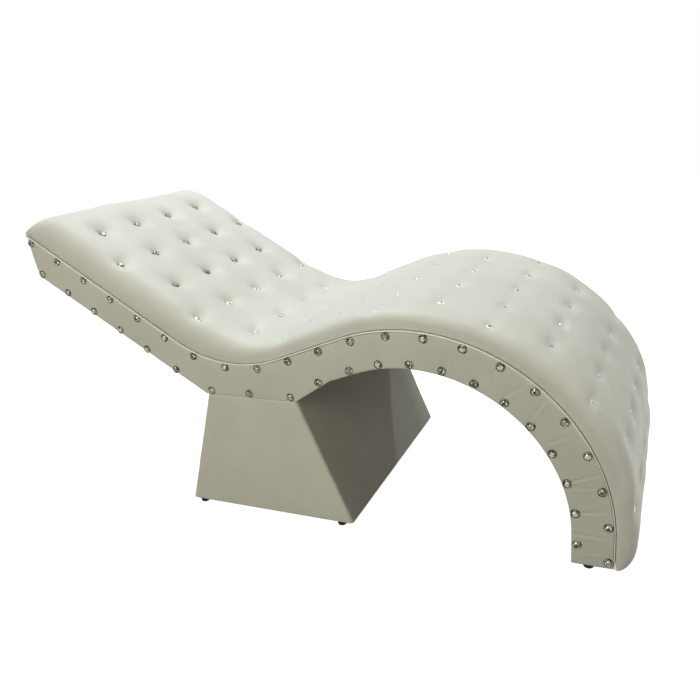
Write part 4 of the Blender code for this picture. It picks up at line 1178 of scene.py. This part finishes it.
def build_floor():
    mat, nodes, links, _ = new_material("floor")
    nodes.clear()
    lighting = add_node(nodes, "ShaderNodeBsdfDiffuse", Color=LIT_FLOOR)
    shown = add_node(nodes, "ShaderNodeBsdfDiffuse", Color=SEEN_FLOOR)
    glow = add_node(nodes, "ShaderNodeEmission", Color=WHITE, Strength=FLOOR_GLOW)
    both = nodes.new("ShaderNodeAddShader")
    links.new(shown.outputs[0], both.inputs[0])
    links.new(glow.outputs[0], both.inputs[1])
    mix_by_ray(nodes, links, lighting, both, "ShaderNodeOutputMaterial")
    mesh = bpy.data.meshes.new("floor")
    half = FLOOR_SIZE / 2
    mesh.from_pydata([(-half, -half, 0), (half, -half, 0), (half, half, 0), (-half, half, 0)],
                     [], [(0, 1, 2, 3)])
    mesh.materials.append(mat)
    floor = bpy.data.objects.new("floor", mesh)
    bpy.context.collection.objects.link(floor)


def build_world():
    world = bpy.data.worlds.new("world")
    bpy.context.scene.world = world
    world.use_nodes = True
    nodes, links = world.node_tree.nodes, world.node_tree.links
    nodes.clear()
    soft = add_node(nodes, "ShaderNodeBackground", Color=AMBIENT_TINT, Strength=AMBIENT)
    white = add_node(nodes, "ShaderNodeBackground", Color=WHITE, Strength=1.0)
    mix_by_ray(nodes, links, soft, white, "ShaderNodeOutputWorld")


def build_light(name, place, target, size, power, tint):
    light = bpy.data.lights.new(name, "AREA")
    light.shape = "DISK"
    light.size = size
    light.energy = power
    light.color = tint
    lamp = bpy.data.objects.new(name, light)
    lamp.location = place
    lamp.rotation_euler = (Vector(target) - Vector(place)).to_track_quat("-Z", "Y").to_euler()
    bpy.context.collection.objects.link(lamp)


build_camera()
dress_nodes()
SEATS, SEAT_AXES = build_pad()
# Head and waist tufts take shaded and lit copies of cup metal and facet tones: painted light
HEAD_TUFTS = tufts()[:, 0] < HEAD_RUN
set_crystals("head_tuft", BUTTON_RADIUS, SEATS[HEAD_TUFTS], SEAT_AXES[HEAD_TUFTS], SHADED_HEAD_CHROME,
             HEAD_TONE_SHARES, HEAD_FLATNESS)
set_crystals("waist_tuft", BUTTON_RADIUS, SEATS[~HEAD_TUFTS], SEAT_AXES[~HEAD_TUFTS], LIT_WAIST_CHROME,
             WAIST_TONE_SHARES, WAIST_FLATNESS, WAIST_TABLE_TONES)
for side_name, side_sign in SIDES:
    build_side(side_name, side_sign)
    build_studs(side_name, side_sign)
build_side_welts()
build_head_welt()
build_linings()
build_head_end()
build_base()
build_glides()
build_floor()
build_world()
for light_name, light_values in LIGHTS.items():
    build_light(light_name, *light_values)

scene = bpy.context.scene
scene.view_settings.view_transform = "Standard"
